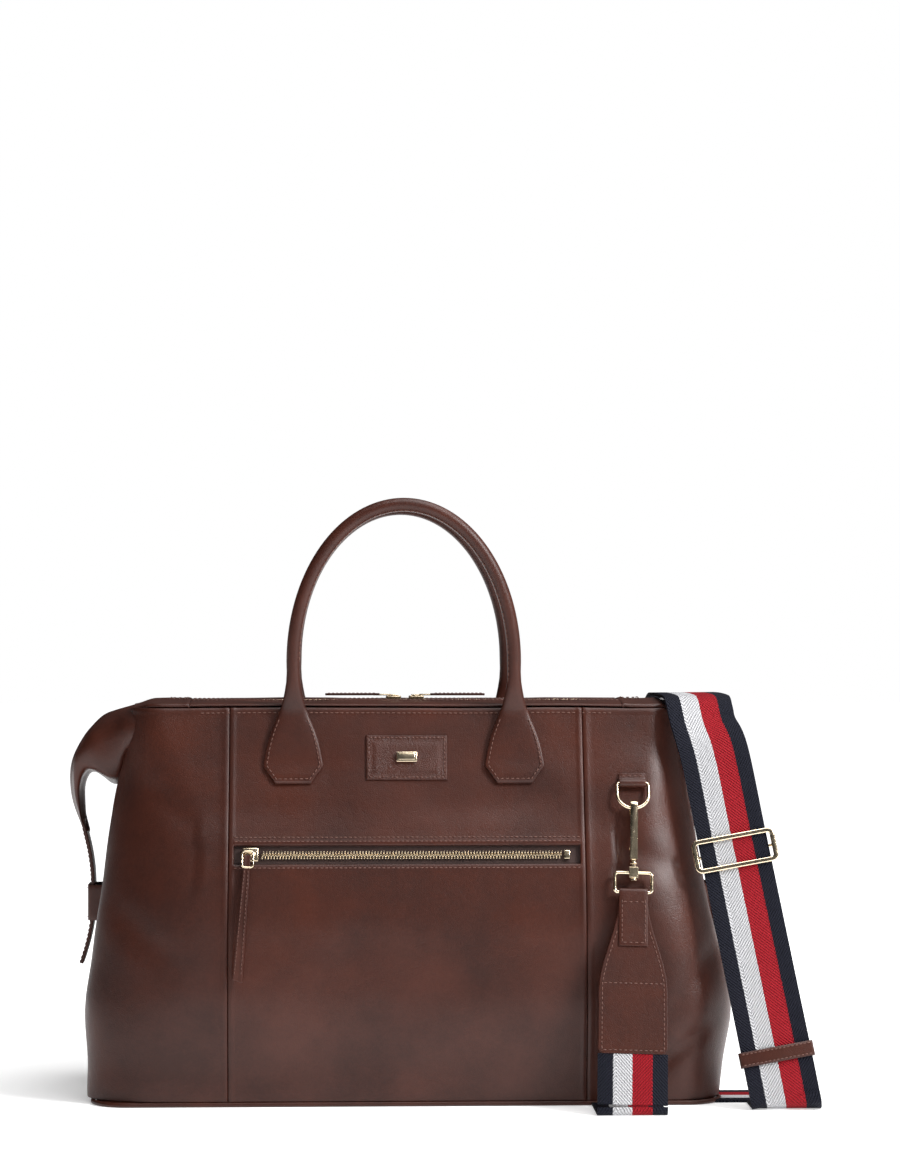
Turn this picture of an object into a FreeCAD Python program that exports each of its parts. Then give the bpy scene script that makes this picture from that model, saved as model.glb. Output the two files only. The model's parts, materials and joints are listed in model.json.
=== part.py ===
"""Weekender bag: soft leather shell, rolled handles, zips, and a clipped shoulder strap of striped webbing.

Millimetres. +X runs along the bag to its right end, -Y is the front, +Z is up.
The origin is the middle of the base panel's underside, on the surface the bag stands on.
"""
import FreeCAD, Part
import math
import os
import Sketcher

Vec = FreeCAD.Vector
Rot = FreeCAD.Rotation
Place = FreeCAD.Placement
X_AXIS = Vec(1, 0, 0)
Y_AXIS = Vec(0, 1, 0)
Z_AXIS = Vec(0, 0, 1)

SIZES = {
    # the shell's four sections, from the foot up to the crown
    "foot_level": 4, "belly_level": 70, "waist_level": 150, "crown_level": 303,
    "foot_length": 241, "belly_length": 246, "waist_length": 235, "crown_length": 214,
    "foot_depth": 103, "belly_depth": 112, "waist_depth": 106, "crown_depth": 52,
    "foot_corner": 28, "belly_corner": 40, "waist_corner": 42, "crown_corner": 26,
    "leather_wall": 2.6, "seam_offset": 136.8, "gusset_depth": 36, "cut_reach": 400,
    # base
    "base_thick": 3.6, "base_inset": 2.4, "welt_radius": 1.8, "board_thick": 2.2, "board_inset": 3.4,
    # lining
    "lining_inset": 7.5, "lining_wall": 0.8, "lining_floor": 7, "lining_top": 300,
    # top opening
    "flap_length": 336, "flap_edge": 50.5, "flap_inner": 15.3, "flap_thick": 1.8, "flap_rise": 3.0,
    "flap_base": 303.4, "tape_inner": 3.3, "tape_thick": 0.9, "tooth_inner": 0.9, "tooth_thick": 2.1,
    "slider_length": 12, "slider_reach": 8.4, "slider_gap": 9, "slider_low": 304.5, "slider_high": 309.8,
    "slider_plate": 1.1, "slider_web": 0.6, "pull_length": 52, "pull_width": 7, "pull_level": 310.1,
    "pull_thick": 1.8, "eye_length": 12, "eye_width": 4.4, "eye_thick": 1.2,
    # ears and side straps
    "ear_depth": 34, "ear_cover_start": 168.6, "strap_thick": 2.6, "strap_width": 25,
    "keeper_level": 148, "keeper_height": 28, "keeper_depth": 30, "keeper_wall": 1.6,
    "keeper_near": 237.6, "keeper_far": 249.5,
    # pocket
    "pocket_level": 191, "pocket_width": 265, "pocket_slot": 14.5, "pocket_tooth": 6, "pocket_row": 233,
    "pocket_tape_lift": 3.2, "pocket_tape_thick": 0.8, "pocket_row_lift": 1.6, "pocket_row_thick": 2.2,
    "pocket_row_shift": 3.5, "stop_length": 4.6, "pocket_slider_half": 6, "pocket_slider_up": 5.3,
    "bail_lift": 4.9, "bail_half": 4.2, "bail_top": 1.6, "bail_drop": 11, "bail_radius": 0.9,
    "bail_corner": 2.2, "pocket_tab": 85, "pocket_tab_drop": 12.2, "pocket_tab_near": 3.2,
    "pocket_tab_thick": 2, "pocket_tab_width": 7.5, "pocket_drop": 118, "pocket_cloth_lift": 7,
    # patch
    "patch_width": 63, "patch_height": 36, "patch_level": 264, "patch_thick": 1.6, "patch_lift": 0.2,
    "badge_width": 16, "badge_height": 8, "badge_thick": 1.2,
    # handles
    "handle_span": 85.5, "handle_spring": 338, "handle_crown": 121, "handle_tube": 5.2, "handle_core": 3.4,
    "handle_offset": 8, "handle_shift": -2, "tab_thick": 3,
    # strap hardware
    "ring_place": 174, "ring_level": 243.2, "ring_lift": 3.7, "ring_half": 12.15, "ring_leg": 9,
    "wire_radius": 1.35, "ring_tilt": 28.2, "chain_tilt": 17.5, "chain_lean": 1.8,
    "hook_half": 2.8, "hook_outer": 4.6, "hook_inner": 2.2, "stud_radius": 1.9, "bar_drop": 66,
    "frame_top": 50.9, "frame_half": 14.15, "neck_half": 11, "neck_thick": 1.3, "leather_end_half": 26.2,
    "leather_end_thick": 3.4, "leather_end_drop": 190,
    # webbing
    "web_width": 53, "web_thick": 2.2, "web_clear": 0.4,
    # strap slider and keeper
    "buckle_half": 30.5, "buckle_height": 25, "buckle_bar": 3, "loop_height": 11.4, "loop_wall": 1.5,
}

doc = FreeCAD.newDocument("WeekenderBag")
sheet = doc.addObject("Spreadsheet::Sheet", "Sizes")
for row, (alias, value) in enumerate(SIZES.items(), start=1):
    sheet.set("A%d" % row, alias)
    sheet.set("B%d" % row, str(value))
    sheet.setAlias("B%d" % row, alias)
doc.recompute()

NODES = []
FRONT = -1
REAR = 1


def size(alias):
    """A driving dimension, read from the sheet."""
    return float(sheet.get(alias))


def keep(thing, label):
    """Register a finished sub-part under the name its file takes."""
    thing.Label = label
    NODES.append(thing)
    return thing


# ---------------------------------------------------------------- building blocks

def origin_plane(body, role):
    return [item for item in body.Origin.OriginFeatures if item.Role == role][0]


def outline_sketch(body, role, corners):
    """A closed polygon whose corners are bound to pairs of sheet formulas."""
    sketch = body.newObject("Sketcher::SketchObject", body.Name + "_outline")
    sketch.AttachmentSupport = [(origin_plane(body, role), "")]
    sketch.MapMode = "FlatFace"
    spots = [Vec(number(across), number(along), 0) for across, along in corners]
    count = len(corners)
    for index in range(count):
        sketch.addGeometry(Part.LineSegment(spots[index], spots[(index + 1) % count]), False)
    for index in range(count):
        sketch.addConstraint(Sketcher.Constraint("Coincident", index, 2, (index + 1) % count, 1))
    for index, (across, along) in enumerate(corners):
        for kind, value, formula in (("DistanceX", spots[index].x, across),
                                     ("DistanceY", spots[index].y, along)):
            place = sketch.addConstraint(Sketcher.Constraint(kind, -1, 1, index, 1, value))
            sketch.setExpression("Constraints[%d]" % place, str(formula))
    return sketch


def number(formula):
    """The value of a sheet formula."""
    return float(sheet.evalExpression(str(formula)))


def mirrored(half):
    """A half outline on the right, closed by its mirror image on the left."""
    return half + [("-(%s)" % across, along) for across, along in reversed(half)]


def slab(name, role, corners, length):
    """A PartDesign body: a polygon padded to both sides of its plane."""
    body = doc.addObject("PartDesign::Body", name)
    sketch = outline_sketch(body, role, corners)
    pad = body.newObject("PartDesign::Pad", name + "_pad")
    pad.Profile = sketch
    pad.SideType = "Symmetric"
    pad.setExpression("Length", str(length))
    return body


def box(name, low, high):
    """A box between two corners given as sheet formulas."""
    solid = doc.addObject("Part::Box", name)
    for side, start, end in zip(("Length", "Width", "Height"), low, high):
        solid.setExpression(side, "(%s) - (%s)" % (end, start))
    for side, start in zip("xyz", low):
        solid.setExpression("Placement.Base." + side, str(start))
    return solid


def rounded_section(name, half_length, half_depth, corner, level):
    """A rounded rectangle on a level plane, centred on the Z axis."""
    sketch = doc.addObject("Sketcher::SketchObject", name)
    length, depth, radius = number(half_length), number(half_depth), number(corner)
    straight, side = length - radius, depth - radius
    lines = [((-straight, -depth), (straight, -depth)), ((length, -side), (length, side)),
             ((straight, depth), (-straight, depth)), ((-length, side), (-length, -side))]
    centres = [(straight, -side), (straight, side), (-straight, side), (-straight, -side)]
    for line, centre, quarter in zip(lines, centres, (3, 0, 1, 2)):
        sketch.addGeometry(Part.LineSegment(Vec(*line[0], 0), Vec(*line[1], 0)), False)
        circle = Part.Circle(Vec(*centre, 0), Z_AXIS, radius)
        start = quarter * math.pi / 2
        sketch.addGeometry(Part.ArcOfCircle(circle, start, start + math.pi / 2), False)
    for index in range(0, 8, 2):
        sketch.addConstraint(Sketcher.Constraint("Tangent", index, 2, index + 1, 1))
        sketch.addConstraint(Sketcher.Constraint("Tangent", index + 1, 2, (index + 2) % 8, 1))
    for index in (3, 5, 7):
        sketch.addConstraint(Sketcher.Constraint("Equal", 1, index))
    for kind, line, value, formula in (("DistanceY", 0, -depth, "-(%s)" % half_depth),
                                       ("DistanceX", 2, length, half_length),
                                       ("DistanceY", 4, depth, half_depth),
                                       ("DistanceX", 6, -length, "-(%s)" % half_length)):
        place = sketch.addConstraint(Sketcher.Constraint(kind, -1, 1, line, 1, value))
        sketch.setExpression("Constraints[%d]" % place, str(formula))
    place = sketch.addConstraint(Sketcher.Constraint("Radius", 1, radius))
    sketch.setExpression("Constraints[%d]" % place, str(corner))
    sketch.setExpression("Placement.Base.z", str(level))
    return sketch


def shell_loft(name, inset, bottom, top):
    """The bag's outer form, drawn in by an inset, between two levels."""
    levels = (bottom, "Sizes.belly_level", "Sizes.waist_level", top)
    sections = []
    for zone, level in zip(("foot", "belly", "waist", "crown"), levels):
        half_length, half_depth, corner = ("Sizes.%s_%s - %s" % (zone, part, inset)
                                           for part in ("length", "depth", "corner"))
        sections.append(rounded_section("%s_%s" % (name, zone), half_length, half_depth, corner, level))
    loft = doc.addObject("Part::Loft", name)
    loft.Sections = sections
    loft.Solid = True
    loft.Ruled = True
    return loft


def boolean(kind, name, base, tool):
    """Part::Cut or Part::Common of two document objects."""
    result = doc.addObject("Part::" + kind, name)
    result.Base = base
    result.Tool = tool
    return result


def feature(name, shape, place=None):
    """A sub-part whose shape is made by Part's own functions."""
    thing = doc.addObject("Part::Feature", name)
    thing.Shape = shape
    if place is not None:
        thing.Placement = place
    return thing


def tube(edges, radius, start, direction):
    """A round bar along a wire."""
    circle = Part.Wire(Part.Circle(start, direction, radius).toShape())
    return Part.Wire(edges).makePipeShell([circle], True, False)


def bar(radius, length, centre, axis):
    """A round bar centred on a point."""
    return Part.makeCylinder(radius, length, centre - axis * (length / 2), axis)


def block(low, high):
    return Part.makeBox(high[0] - low[0], high[1] - low[1], high[2] - low[2], Vec(*low))


def rounded_frame(half, top, bottom, corner, radius):
    """A closed wire frame in the XZ plane, with its four corners rounded."""
    inner = half - corner
    spots = [(-half, top - corner), (-half, bottom + corner), (-inner, bottom), (inner, bottom),
             (half, bottom + corner), (half, top - corner), (inner, top), (-inner, top)]
    spots = [Vec(across, 0, up) for across, up in spots]
    turn = corner * (1 - math.sqrt(0.5))
    mids = [Vec(-half + turn, 0, bottom + turn), Vec(half - turn, 0, bottom + turn),
            Vec(half - turn, 0, top - turn), Vec(-half + turn, 0, top - turn)]
    edges = []
    for index, mid in enumerate(mids):
        edges.append(Part.LineSegment(spots[2 * index], spots[2 * index + 1]).toShape())
        edges.append(Part.Arc(spots[2 * index + 1], mid, spots[(2 * index + 2) % 8]).toShape())
    return tube(edges, radius, spots[0], Z_AXIS)


def ribbon(route, width, thick):
    """A flat strip along hand-set points, each with the direction of its width."""
    sections = []
    for index, (spot, across) in enumerate(route):
        before = route[max(index - 1, 0)][0]
        after = route[min(index + 1, len(route) - 1)][0]
        along = (after - before).normalize()
        side = (across - along * across.dot(along)).normalize() * (width / 2)
        face = side.cross(along).normalize() * (thick / 2)
        corners = [spot + side + face, spot - side + face, spot - side - face, spot + side - face]
        sections.append(Part.makePolygon(corners + corners[:1]))
    return Part.makeLoft(sections, True, True)


# ---------------------------------------------------------------- places on the bag

def slope_angle():
    """Lean of the front and rear faces above the waist, in degrees from upright."""
    run = size("waist_depth") - size("crown_depth")
    return math.degrees(math.atan2(run, size("crown_level") - size("waist_level")))


def on_slope(across, level, lift, side=FRONT):
    """A frame on the sloping face: its -Y points out of the bag, its +Z up the face."""
    lean = math.radians(slope_angle())
    fall = (size("crown_level") - level) * math.tan(lean)
    out = size("crown_depth") + fall + lift * math.cos(lean)
    turn = Rot(X_AXIS, side * slope_angle())
    if side == REAR:
        turn = turn * Rot(Z_AXIS, 180)
    return Place(Vec(across, side * out, level + lift * math.sin(lean)), turn)


def ring_place(side):
    """The D-ring's frame: its bar on the X axis, the ring hanging down its own Z."""
    base = on_slope(size("ring_place"), size("ring_level"), size("ring_lift"), side).Base
    turn = Rot(X_AXIS, side * size("ring_tilt"))
    return Place(base, turn)


def chain_place(side):
    """The frame of all that hangs from the D-ring: origin at the ring's lowest wire."""
    drop = Vec(0, 0, -(size("ring_leg") + size("ring_half")))
    base = ring_place(side).multVec(drop)
    turn = Rot(Y_AXIS, size("chain_lean")) * Rot(X_AXIS, side * size("chain_tilt"))
    if side == REAR:
        turn = turn * Rot(Z_AXIS, 180)
    return Place(base, turn)


def side_name(side):
    return "front" if side == FRONT else "rear"


# ---------------------------------------------------------------- shell

def make_shell():
    """The leather panels: one lofted wall, divided along the real seams."""
    outer = shell_loft("outer_form", "0", "Sizes.foot_level", "Sizes.crown_level")
    inner = shell_loft("inner_form", "Sizes.leather_wall", "Sizes.foot_level", "Sizes.crown_level")
    wall = boolean("Cut", "wall", outer, inner)
    far, seam, end = "Sizes.cut_reach", "Sizes.seam_offset", "Sizes.gusset_depth"
    near = "-" + far
    spans = {
        "front_left_panel": ((near, near), ("-" + seam, "-" + end)),
        "front_right_panel": ((seam, near), (far, "-" + end)),
        "rear_left_panel": ((near, end), ("-" + seam, far)),
        "rear_right_panel": ((seam, end), (far, far)),
        "left_gusset": ((near, "-" + end), ("-" + seam, end)),
        "right_gusset": ((seam, "-" + end), (far, end)),
        "rear_centre_panel": (("-" + seam, end), (seam, far)),
    }
    for label, (low, high) in spans.items():
        region = box(label + "_region", (*low, "0"), (*high, far))
        keep(boolean("Common", label + "_cut", wall, region), label)
    region = box("front_centre_region", ("-" + seam, near, "0"), (seam, "-" + end, far))
    whole = boolean("Common", "front_centre_whole", wall, region)
    half, slot = "Sizes.pocket_width/2", "Sizes.pocket_slot/2"
    window = slab("pocket_window", "XZ_Plane", mirrored([(half, "-" + slot), (half, slot)]), "30")
    window.Placement = on_slope(0, size("pocket_level"), 0)
    keep(boolean("Cut", "front_centre_cut", whole, window), "front_centre_panel")


def make_base():
    """Base panel with a recess where the webbing passes under it, its welt, and the board inside."""
    inset = "Sizes.base_inset"
    half_length, half_depth = "(Sizes.foot_length - %s)" % inset, "(Sizes.foot_depth - %s)" % inset
    plate = rounded_prism("base_plate", half_length, half_depth, "Sizes.foot_corner", "0", "Sizes.base_thick")
    front_foot, side_foot = webbing_tunnels()
    recess = doc.addObject("Part::MultiFuse", "base_recess")
    recess.Shapes = [box("front_tunnel", *front_foot), box("side_tunnel", *side_foot)]
    keep(boolean("Cut", "base_cut", plate, recess), "base_panel")

    length, depth, corner = size("foot_length"), size("foot_depth"), size("foot_corner")
    level = Vec(0, 0, size("welt_radius") + 0.1)
    outline = rounded_outline(length, depth, corner)
    start = Vec(-(length - corner), -depth, 0)
    welt = tube(outline, size("welt_radius"), start, X_AXIS)
    welt.translate(level)
    for low, high in (front_foot, side_foot):
        welt = welt.cut(block([number(value) for value in low], [number(value) for value in high]))
    keep(feature("welt", welt), "base_piping")

    inset = "Sizes.board_inset"
    board = rounded_prism("board", "(Sizes.foot_length - %s)" % inset, "(Sizes.foot_depth - %s)" % inset,
                          "Sizes.foot_corner", "Sizes.foot_level", "Sizes.board_thick")
    keep(board, "base_board")


def webbing_tunnels():
    """The two low passages under the base: one from the front, one out at the right end."""
    across, top = "Sizes.web_width/2 + Sizes.web_clear", "Sizes.web_thick + Sizes.web_clear"
    foot = front_foot_place().x
    front = ((("%s - (%s)" % (foot, across)), "-Sizes.cut_reach", "-1"),
             (("%s + %s" % (foot, across)), "-40 + Sizes.web_clear", top))
    side = ((("%s - (%s)" % (foot, across)), "-93 - Sizes.web_clear", "-1"),
            ("Sizes.cut_reach", "-40 + Sizes.web_clear", top))
    return front, side


def rounded_prism(name, half_length, half_depth, corner, level, height):
    section = rounded_section(name + "_section", half_length, half_depth, corner, level)
    solid = doc.addObject("Part::Extrusion", name)
    solid.Base = section
    solid.DirMode = "Normal"
    solid.Solid = True
    solid.setExpression("LengthFwd", height)
    return solid


def rounded_outline(length, depth, corner):
    """Edges of a rounded rectangle in the XY plane, starting at its lower left."""
    straight, side, turn = length - corner, depth - corner, corner * (1 - math.sqrt(0.5))
    spots = [(-straight, -depth), (straight, -depth), (length, -side), (length, side),
             (straight, depth), (-straight, depth), (-length, side), (-length, -side)]
    spots = [Vec(*spot, 0) for spot in spots]
    mids = [(length - turn, -depth + turn), (length - turn, depth - turn),
            (-length + turn, depth - turn), (-length + turn, -depth + turn)]
    edges = []
    for index, mid in enumerate(mids):
        edges.append(Part.LineSegment(spots[2 * index], spots[2 * index + 1]).toShape())
        edges.append(Part.Arc(spots[2 * index + 1], Vec(*mid, 0), spots[(2 * index + 2) % 8]).toShape())
    return edges


def make_lining():
    """The cloth lining: an open-topped bag inside the leather."""
    outer = shell_loft("lining_outer", "Sizes.lining_inset", "Sizes.lining_floor", "Sizes.lining_top")
    inner = shell_loft("lining_inner", "(Sizes.lining_inset + Sizes.lining_wall)",
                       "Sizes.lining_floor + Sizes.lining_wall", "Sizes.lining_top + 1")
    keep(boolean("Cut", "lining_cut", outer, inner), "lining")


# ---------------------------------------------------------------- top opening

def arch_level(reach):
    """Height of the domed top at a distance from its middle line, as a formula."""
    return "Sizes.flap_base + Sizes.flap_rise*(1 - (%s)/Sizes.flap_edge)" % reach


def arch_strip(name, side, outer, inner, lift, thick):
    """A long strip of the domed top, between two distances from the middle line."""
    corners = []
    for reach, extra in ((outer, "0"), (inner, "0"), (inner, thick), (outer, thick)):
        across = "%d*(%s)" % (side, reach)
        corners.append((across, "%s + %s + %s" % (arch_level(reach), lift, extra)))
    return slab(name, "YZ_Plane", corners, "Sizes.flap_length")


def make_flap(side):
    """One half of the zipped top: leather strip, cloth tape and a row of teeth."""
    name = side_name(side)
    flap = arch_strip(name + "_flap", side, "Sizes.flap_edge", "Sizes.flap_inner", "0", "Sizes.flap_thick")
    keep(flap, name + "_zip_flap")
    tape = arch_strip(name + "_tape", side, "Sizes.flap_inner - 0.1", "Sizes.tape_inner", "0.4",
                      "Sizes.tape_thick")
    keep(tape, name + "_zip_tape")
    teeth = arch_strip(name + "_teeth", side, "Sizes.tape_inner - 0.1", "Sizes.tooth_inner", "-0.2",
                       "Sizes.tooth_thick")
    keep(teeth, name + "_zip_teeth")


def make_top_slider(end):
    """A zip slider that grips the front row, and the pull that lies along the zip."""
    name = "left" if end < 0 else "right"
    reach = "-Sizes.slider_reach"
    low, high, web = "Sizes.slider_low", "Sizes.slider_high", "-Sizes.slider_web"
    under, over = low + " + Sizes.slider_plate", high + " - Sizes.slider_plate"
    corners = [(reach, low), ("0", low), ("0", high), (reach, high),
               (reach, over), (web, over), (web, under), (reach, under)]
    slider = slab(name + "_slider", "YZ_Plane", corners, "Sizes.slider_length")
    slider.setExpression("Placement.Base.x", "%d*Sizes.slider_gap" % end)
    keep(slider, name + "_zip_slider")
    middle = -size("slider_reach") / 2
    half = size("pull_width") / 2
    hinge, level, eye_half = size("slider_gap") + 2, size("pull_level"), size("eye_width") / 2
    root = hinge + size("eye_length")
    eye = block((hinge, middle - eye_half, level), (root, middle + eye_half, level + size("eye_thick")))
    strap = block((root, middle - half, level),
                  (hinge + size("pull_length"), middle + half, level + size("pull_thick")))
    pull = eye.fuse(strap).removeSplitter()
    if end < 0:
        pull = pull.mirror(Vec(0, 0, 0), X_AXIS)
    keep(feature(name + "_pull", pull), name + "_zip_pull")


# ---------------------------------------------------------------- ears and side straps

def make_ears():
    """The corners of the top that reach past the ends and fold down, with their straps and keepers."""
    lobe = [(214.4, 302.6), (226, 300.5), (238, 294.5), (250, 283), (259, 268), (262.5, 251), (261.5, 235),
            (258, 219), (254.5, 207.5), (250.5, 208), (252.5, 222), (253.5, 240), (248, 251), (240, 251.5),
            (234, 243), (228, 238), (223.5, 238)]
    for end, name in ((-1, "left"), (1, "right")):
        corners = [(str(end * across), str(up)) for across, up in lobe]
        ear = slab(name + "_lobe", "XZ_Plane", corners, "2*Sizes.ear_depth")
        doc.recompute()
        top = arch_cover().common(crown_prism())
        region = block((size("ear_cover_start"), -100, 290), (300, 100, 330))
        if end < 0:
            region = region.mirror(Vec(0, 0, 0), X_AXIS)
        cover = top.common(region)
        keep(feature(name + "_ear", Part.makeCompound([ear.Shape, cover])), name + "_ear")
        doc.removeObject(ear.Name)
    straps = []
    loops = []
    for end in (-1, 1):
        straps.append(side_strap(end))
        loops.append(keeper_loop(end))
    keep(feature("straps", Part.makeCompound(straps)), "side_straps")
    keep(feature("keepers", Part.makeCompound(loops)), "keeper_loops")


def arch_cover():
    """The fixed end of the domed top, before it is cut to the crown's outline."""
    edge, base, rise = size("flap_edge"), size("flap_base"), size("flap_rise")
    thick = size("flap_thick")
    section = [(-edge, base), (0, base + rise), (edge, base),
               (edge, base + thick), (0, base + rise + thick), (-edge, base + thick)]
    spots = [Vec(-size("crown_length"), across, up) for across, up in section]
    face = Part.Face(Part.makePolygon(spots + spots[:1]))
    return face.extrude(Vec(2 * size("crown_length"), 0, 0))


def crown_prism():
    edges = rounded_outline(size("crown_length"), size("crown_depth"), size("crown_corner"))
    face = Part.Face(Part.Wire(edges))
    face.translate(Vec(0, 0, size("crown_level")))
    return face.extrude(Vec(0, 0, 20))


def side_strap(end):
    """A thin strap from the ear's tip down through the keeper."""
    spots = [(252.3, 207), (248, 188), (245.4, 164), (246, 134), (254, 100)]
    route = [(Vec(end * across, 0, up), Y_AXIS) for across, up in spots]
    return ribbon(route, size("strap_width"), size("strap_thick"))


def keeper_loop(end):
    """A low leather bridge sewn to the end, which the side strap passes through."""
    half = size("keeper_depth") / 2
    wall, near, far = size("keeper_wall"), size("keeper_near"), size("keeper_far")
    bottom = size("keeper_level") - size("keeper_height") / 2
    top = bottom + size("keeper_height")
    outer = block((near, -half, bottom), (far, half, top))
    hollow = block((near - 5, -half + wall, bottom - 1), (far - wall + 0.1, half - wall, top + 1))
    loop = outer.cut(hollow)
    if end < 0:
        loop = loop.mirror(Vec(0, 0, 0), X_AXIS)
    return loop


# ---------------------------------------------------------------- front pocket

def bent_strip(name, top, bottom, out_near, out_far, width):
    """A strip that follows the front face over the waist, between two distances out from it."""
    lean = math.tan(math.radians(slope_angle()))
    waist, belly = size("waist_level"), size("belly_level")
    swell = (size("belly_depth") - size("waist_depth")) / (waist - belly)

    def face(level):
        if level > waist:
            return size("waist_depth") - (level - waist) * lean
        return size("waist_depth") + (waist - level) * swell

    corners = []
    for distance, levels in ((out_near, (top, waist, bottom)), (out_far, (bottom, waist, top))):
        corners += [(str(-(face(level) + distance)), str(level)) for level in levels]
    return slab(name, "YZ_Plane", corners, width)


def make_pocket():
    """The zipped front pocket: tape, teeth with their stop, slider, bail, pull and cloth bag."""
    level = size("pocket_level")
    half, slot = "Sizes.pocket_width/2", "Sizes.pocket_slot/2"
    tape = slab("pocket_tape", "XZ_Plane",
                mirrored([(half + " + 6", "-%s - 5" % slot), (half + " + 6", slot + " + 5")]),
                "Sizes.pocket_tape_thick")
    tape.Placement = on_slope(0, level, -size("pocket_tape_lift"))
    keep(tape, "pocket_zip_tape")

    row, tooth, deep = size("pocket_row") / 2, size("pocket_tooth") / 2, size("pocket_row_thick") / 2
    strip = block((-row, -deep, -tooth), (row, deep, tooth))
    stop = block((row + 0.2, -deep - 0.2, -tooth - 0.4),
                 (row + 0.2 + size("stop_length"), deep, tooth + 0.4))
    place = on_slope(size("pocket_row_shift"), level, -size("pocket_row_lift"))
    keep(feature("pocket_row", Part.makeCompound([strip, stop]), place), "pocket_zip_teeth")

    place = on_slope(slider_start(), level, 0)
    keep(feature("pocket_slider", pocket_slider(), place), "pocket_zip_slider")

    wire = rounded_frame(size("bail_half"), size("bail_top"), -size("bail_drop"), size("bail_corner"),
                         size("bail_radius"))
    keep(feature("pocket_bail", wire, on_slope(pull_place(), level, size("bail_lift"))), "pocket_zip_bail")

    top, near = level - size("pocket_tab_drop"), size("pocket_tab_near")
    strap = bent_strip("pocket_tab", top, top - size("pocket_tab"), near, near + size("pocket_tab_thick"),
                       "Sizes.pocket_tab_width")
    strap.Placement.Base.x = pull_place()
    keep(strap, "pocket_zip_pull")

    lift = size("pocket_cloth_lift")
    cloth = bent_strip("pocket_cloth", level + 12, level - size("pocket_drop"), -lift, 2 - lift,
                       "Sizes.pocket_width - 20")
    keep(cloth, "pocket_bag")


def pocket_slider():
    """The slider's body: a plate over the teeth, two side walls, and the post that holds the bail."""
    half, up = size("pocket_slider_half"), size("pocket_slider_up")
    wall = 1.8
    slider = block((-half, -1.4, -up), (half, 0, up))
    for low in (-up, up - wall):
        slider = slider.fuse(block((-half, 0, low), (half, 1.6, low + wall)))
    post = block((2 - half, -3.4, -1.3), (half - 2, -1.4, 1.3))
    return slider.fuse(post).removeSplitter()


def slider_start():
    """Where the pocket slider rests, at the left end of its row."""
    return -size("pocket_row") / 2 - size("pocket_row_shift")


def pull_place():
    """Where the pocket's pull hangs, at rest."""
    return slider_start() - 2


def make_patch():
    """A plain leather patch with a small metal bar."""
    level = size("patch_level")
    half, up = "Sizes.patch_width/2", "Sizes.patch_height/2"
    patch = slab("patch_plate", "XZ_Plane", mirrored([(half, "-" + up), (half, up)]), "Sizes.patch_thick")
    lift, thick = size("patch_lift"), size("patch_thick")
    patch.Placement = on_slope(0, level, lift + thick / 2)
    keep(patch, "patch")
    half, up = "Sizes.badge_width/2", "Sizes.badge_height/2"
    badge = slab("badge", "XZ_Plane", mirrored([(half, "-" + up), (half, up)]), "Sizes.badge_thick")
    badge.Placement = on_slope(0, level, lift + thick + size("badge_thick") / 2)
    keep(badge, "patch_bar")


# ---------------------------------------------------------------- handles

def handle_tube(radius):
    """The rolled handle's arch, from hinge line to hinge line, in its own XZ plane."""
    span, spring, crown = size("handle_span"), size("handle_spring"), size("handle_crown")
    foot = size("crown_level")
    ellipse = Part.Ellipse(Vec(0, 0, spring), crown, span)
    ellipse.Axis = Y_AXIS
    ellipse.XAxis = Z_AXIS
    arch = Part.ArcOfEllipse(ellipse, -math.pi / 2, math.pi / 2).toShape()
    ends = [vertex.Point for vertex in arch.Vertexes]
    legs = [Part.LineSegment(Vec(spot.x, 0, foot), spot).toShape() for spot in ends]
    wire = Part.Wire(Part.__sortEdges__([legs[0], arch, legs[1]]))
    start = wire.OrderedVertexes[0].Point
    circle = Part.Wire(Part.Circle(start, Z_AXIS, radius).toShape())
    return wire.makePipeShell([circle], True, False)


def make_handle(side):
    """A rolled leather handle with its rope core, ending in round knuckles on the hinge line."""
    name = side_name(side)
    outer, core = size("handle_tube"), size("handle_core")
    foot = size("crown_level")
    roll = handle_tube(outer)
    for end in (-1, 1):
        roll = roll.fuse(Part.makeSphere(outer, Vec(end * size("handle_span"), 0, foot)))
    roll = roll.cut(handle_tube(core + 0.05))
    place = Place(Vec(size("handle_shift"), side * (size("crown_depth") + size("handle_offset")), 0), Rot())
    keep(feature(name + "_roll", roll, place), name + "_handle")
    keep(feature(name + "_core", handle_tube(core), place), name + "_handle_core")


def make_handle_tabs(side):
    """The two flared leather tabs that hold a handle, sewn to the sloping face."""
    thick = size("tab_thick")
    half = [(12.2, -62), (22.8, -47.3), (20, -43), (16, -24), (11.5, -7)]
    outline = half + [(-across, up) for across, up in reversed(half)]
    spots = [Vec(across, 0, up) for across, up in outline]
    plate = Part.Face(Part.makePolygon(spots + spots[:1])).extrude(Vec(0, -thick, 0))
    tabs = []
    for end in (-1, 1):
        place = on_slope(size("handle_shift") + end * size("handle_span"), size("crown_level"), 0.2, side)
        tabs.append(plate.copy().transformGeometry(place.toMatrix()))
    name = side_name(side)
    keep(feature(name + "_tabs", Part.makeCompound(tabs)), name + "_handle_tabs")


# ---------------------------------------------------------------- strap hardware

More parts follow.
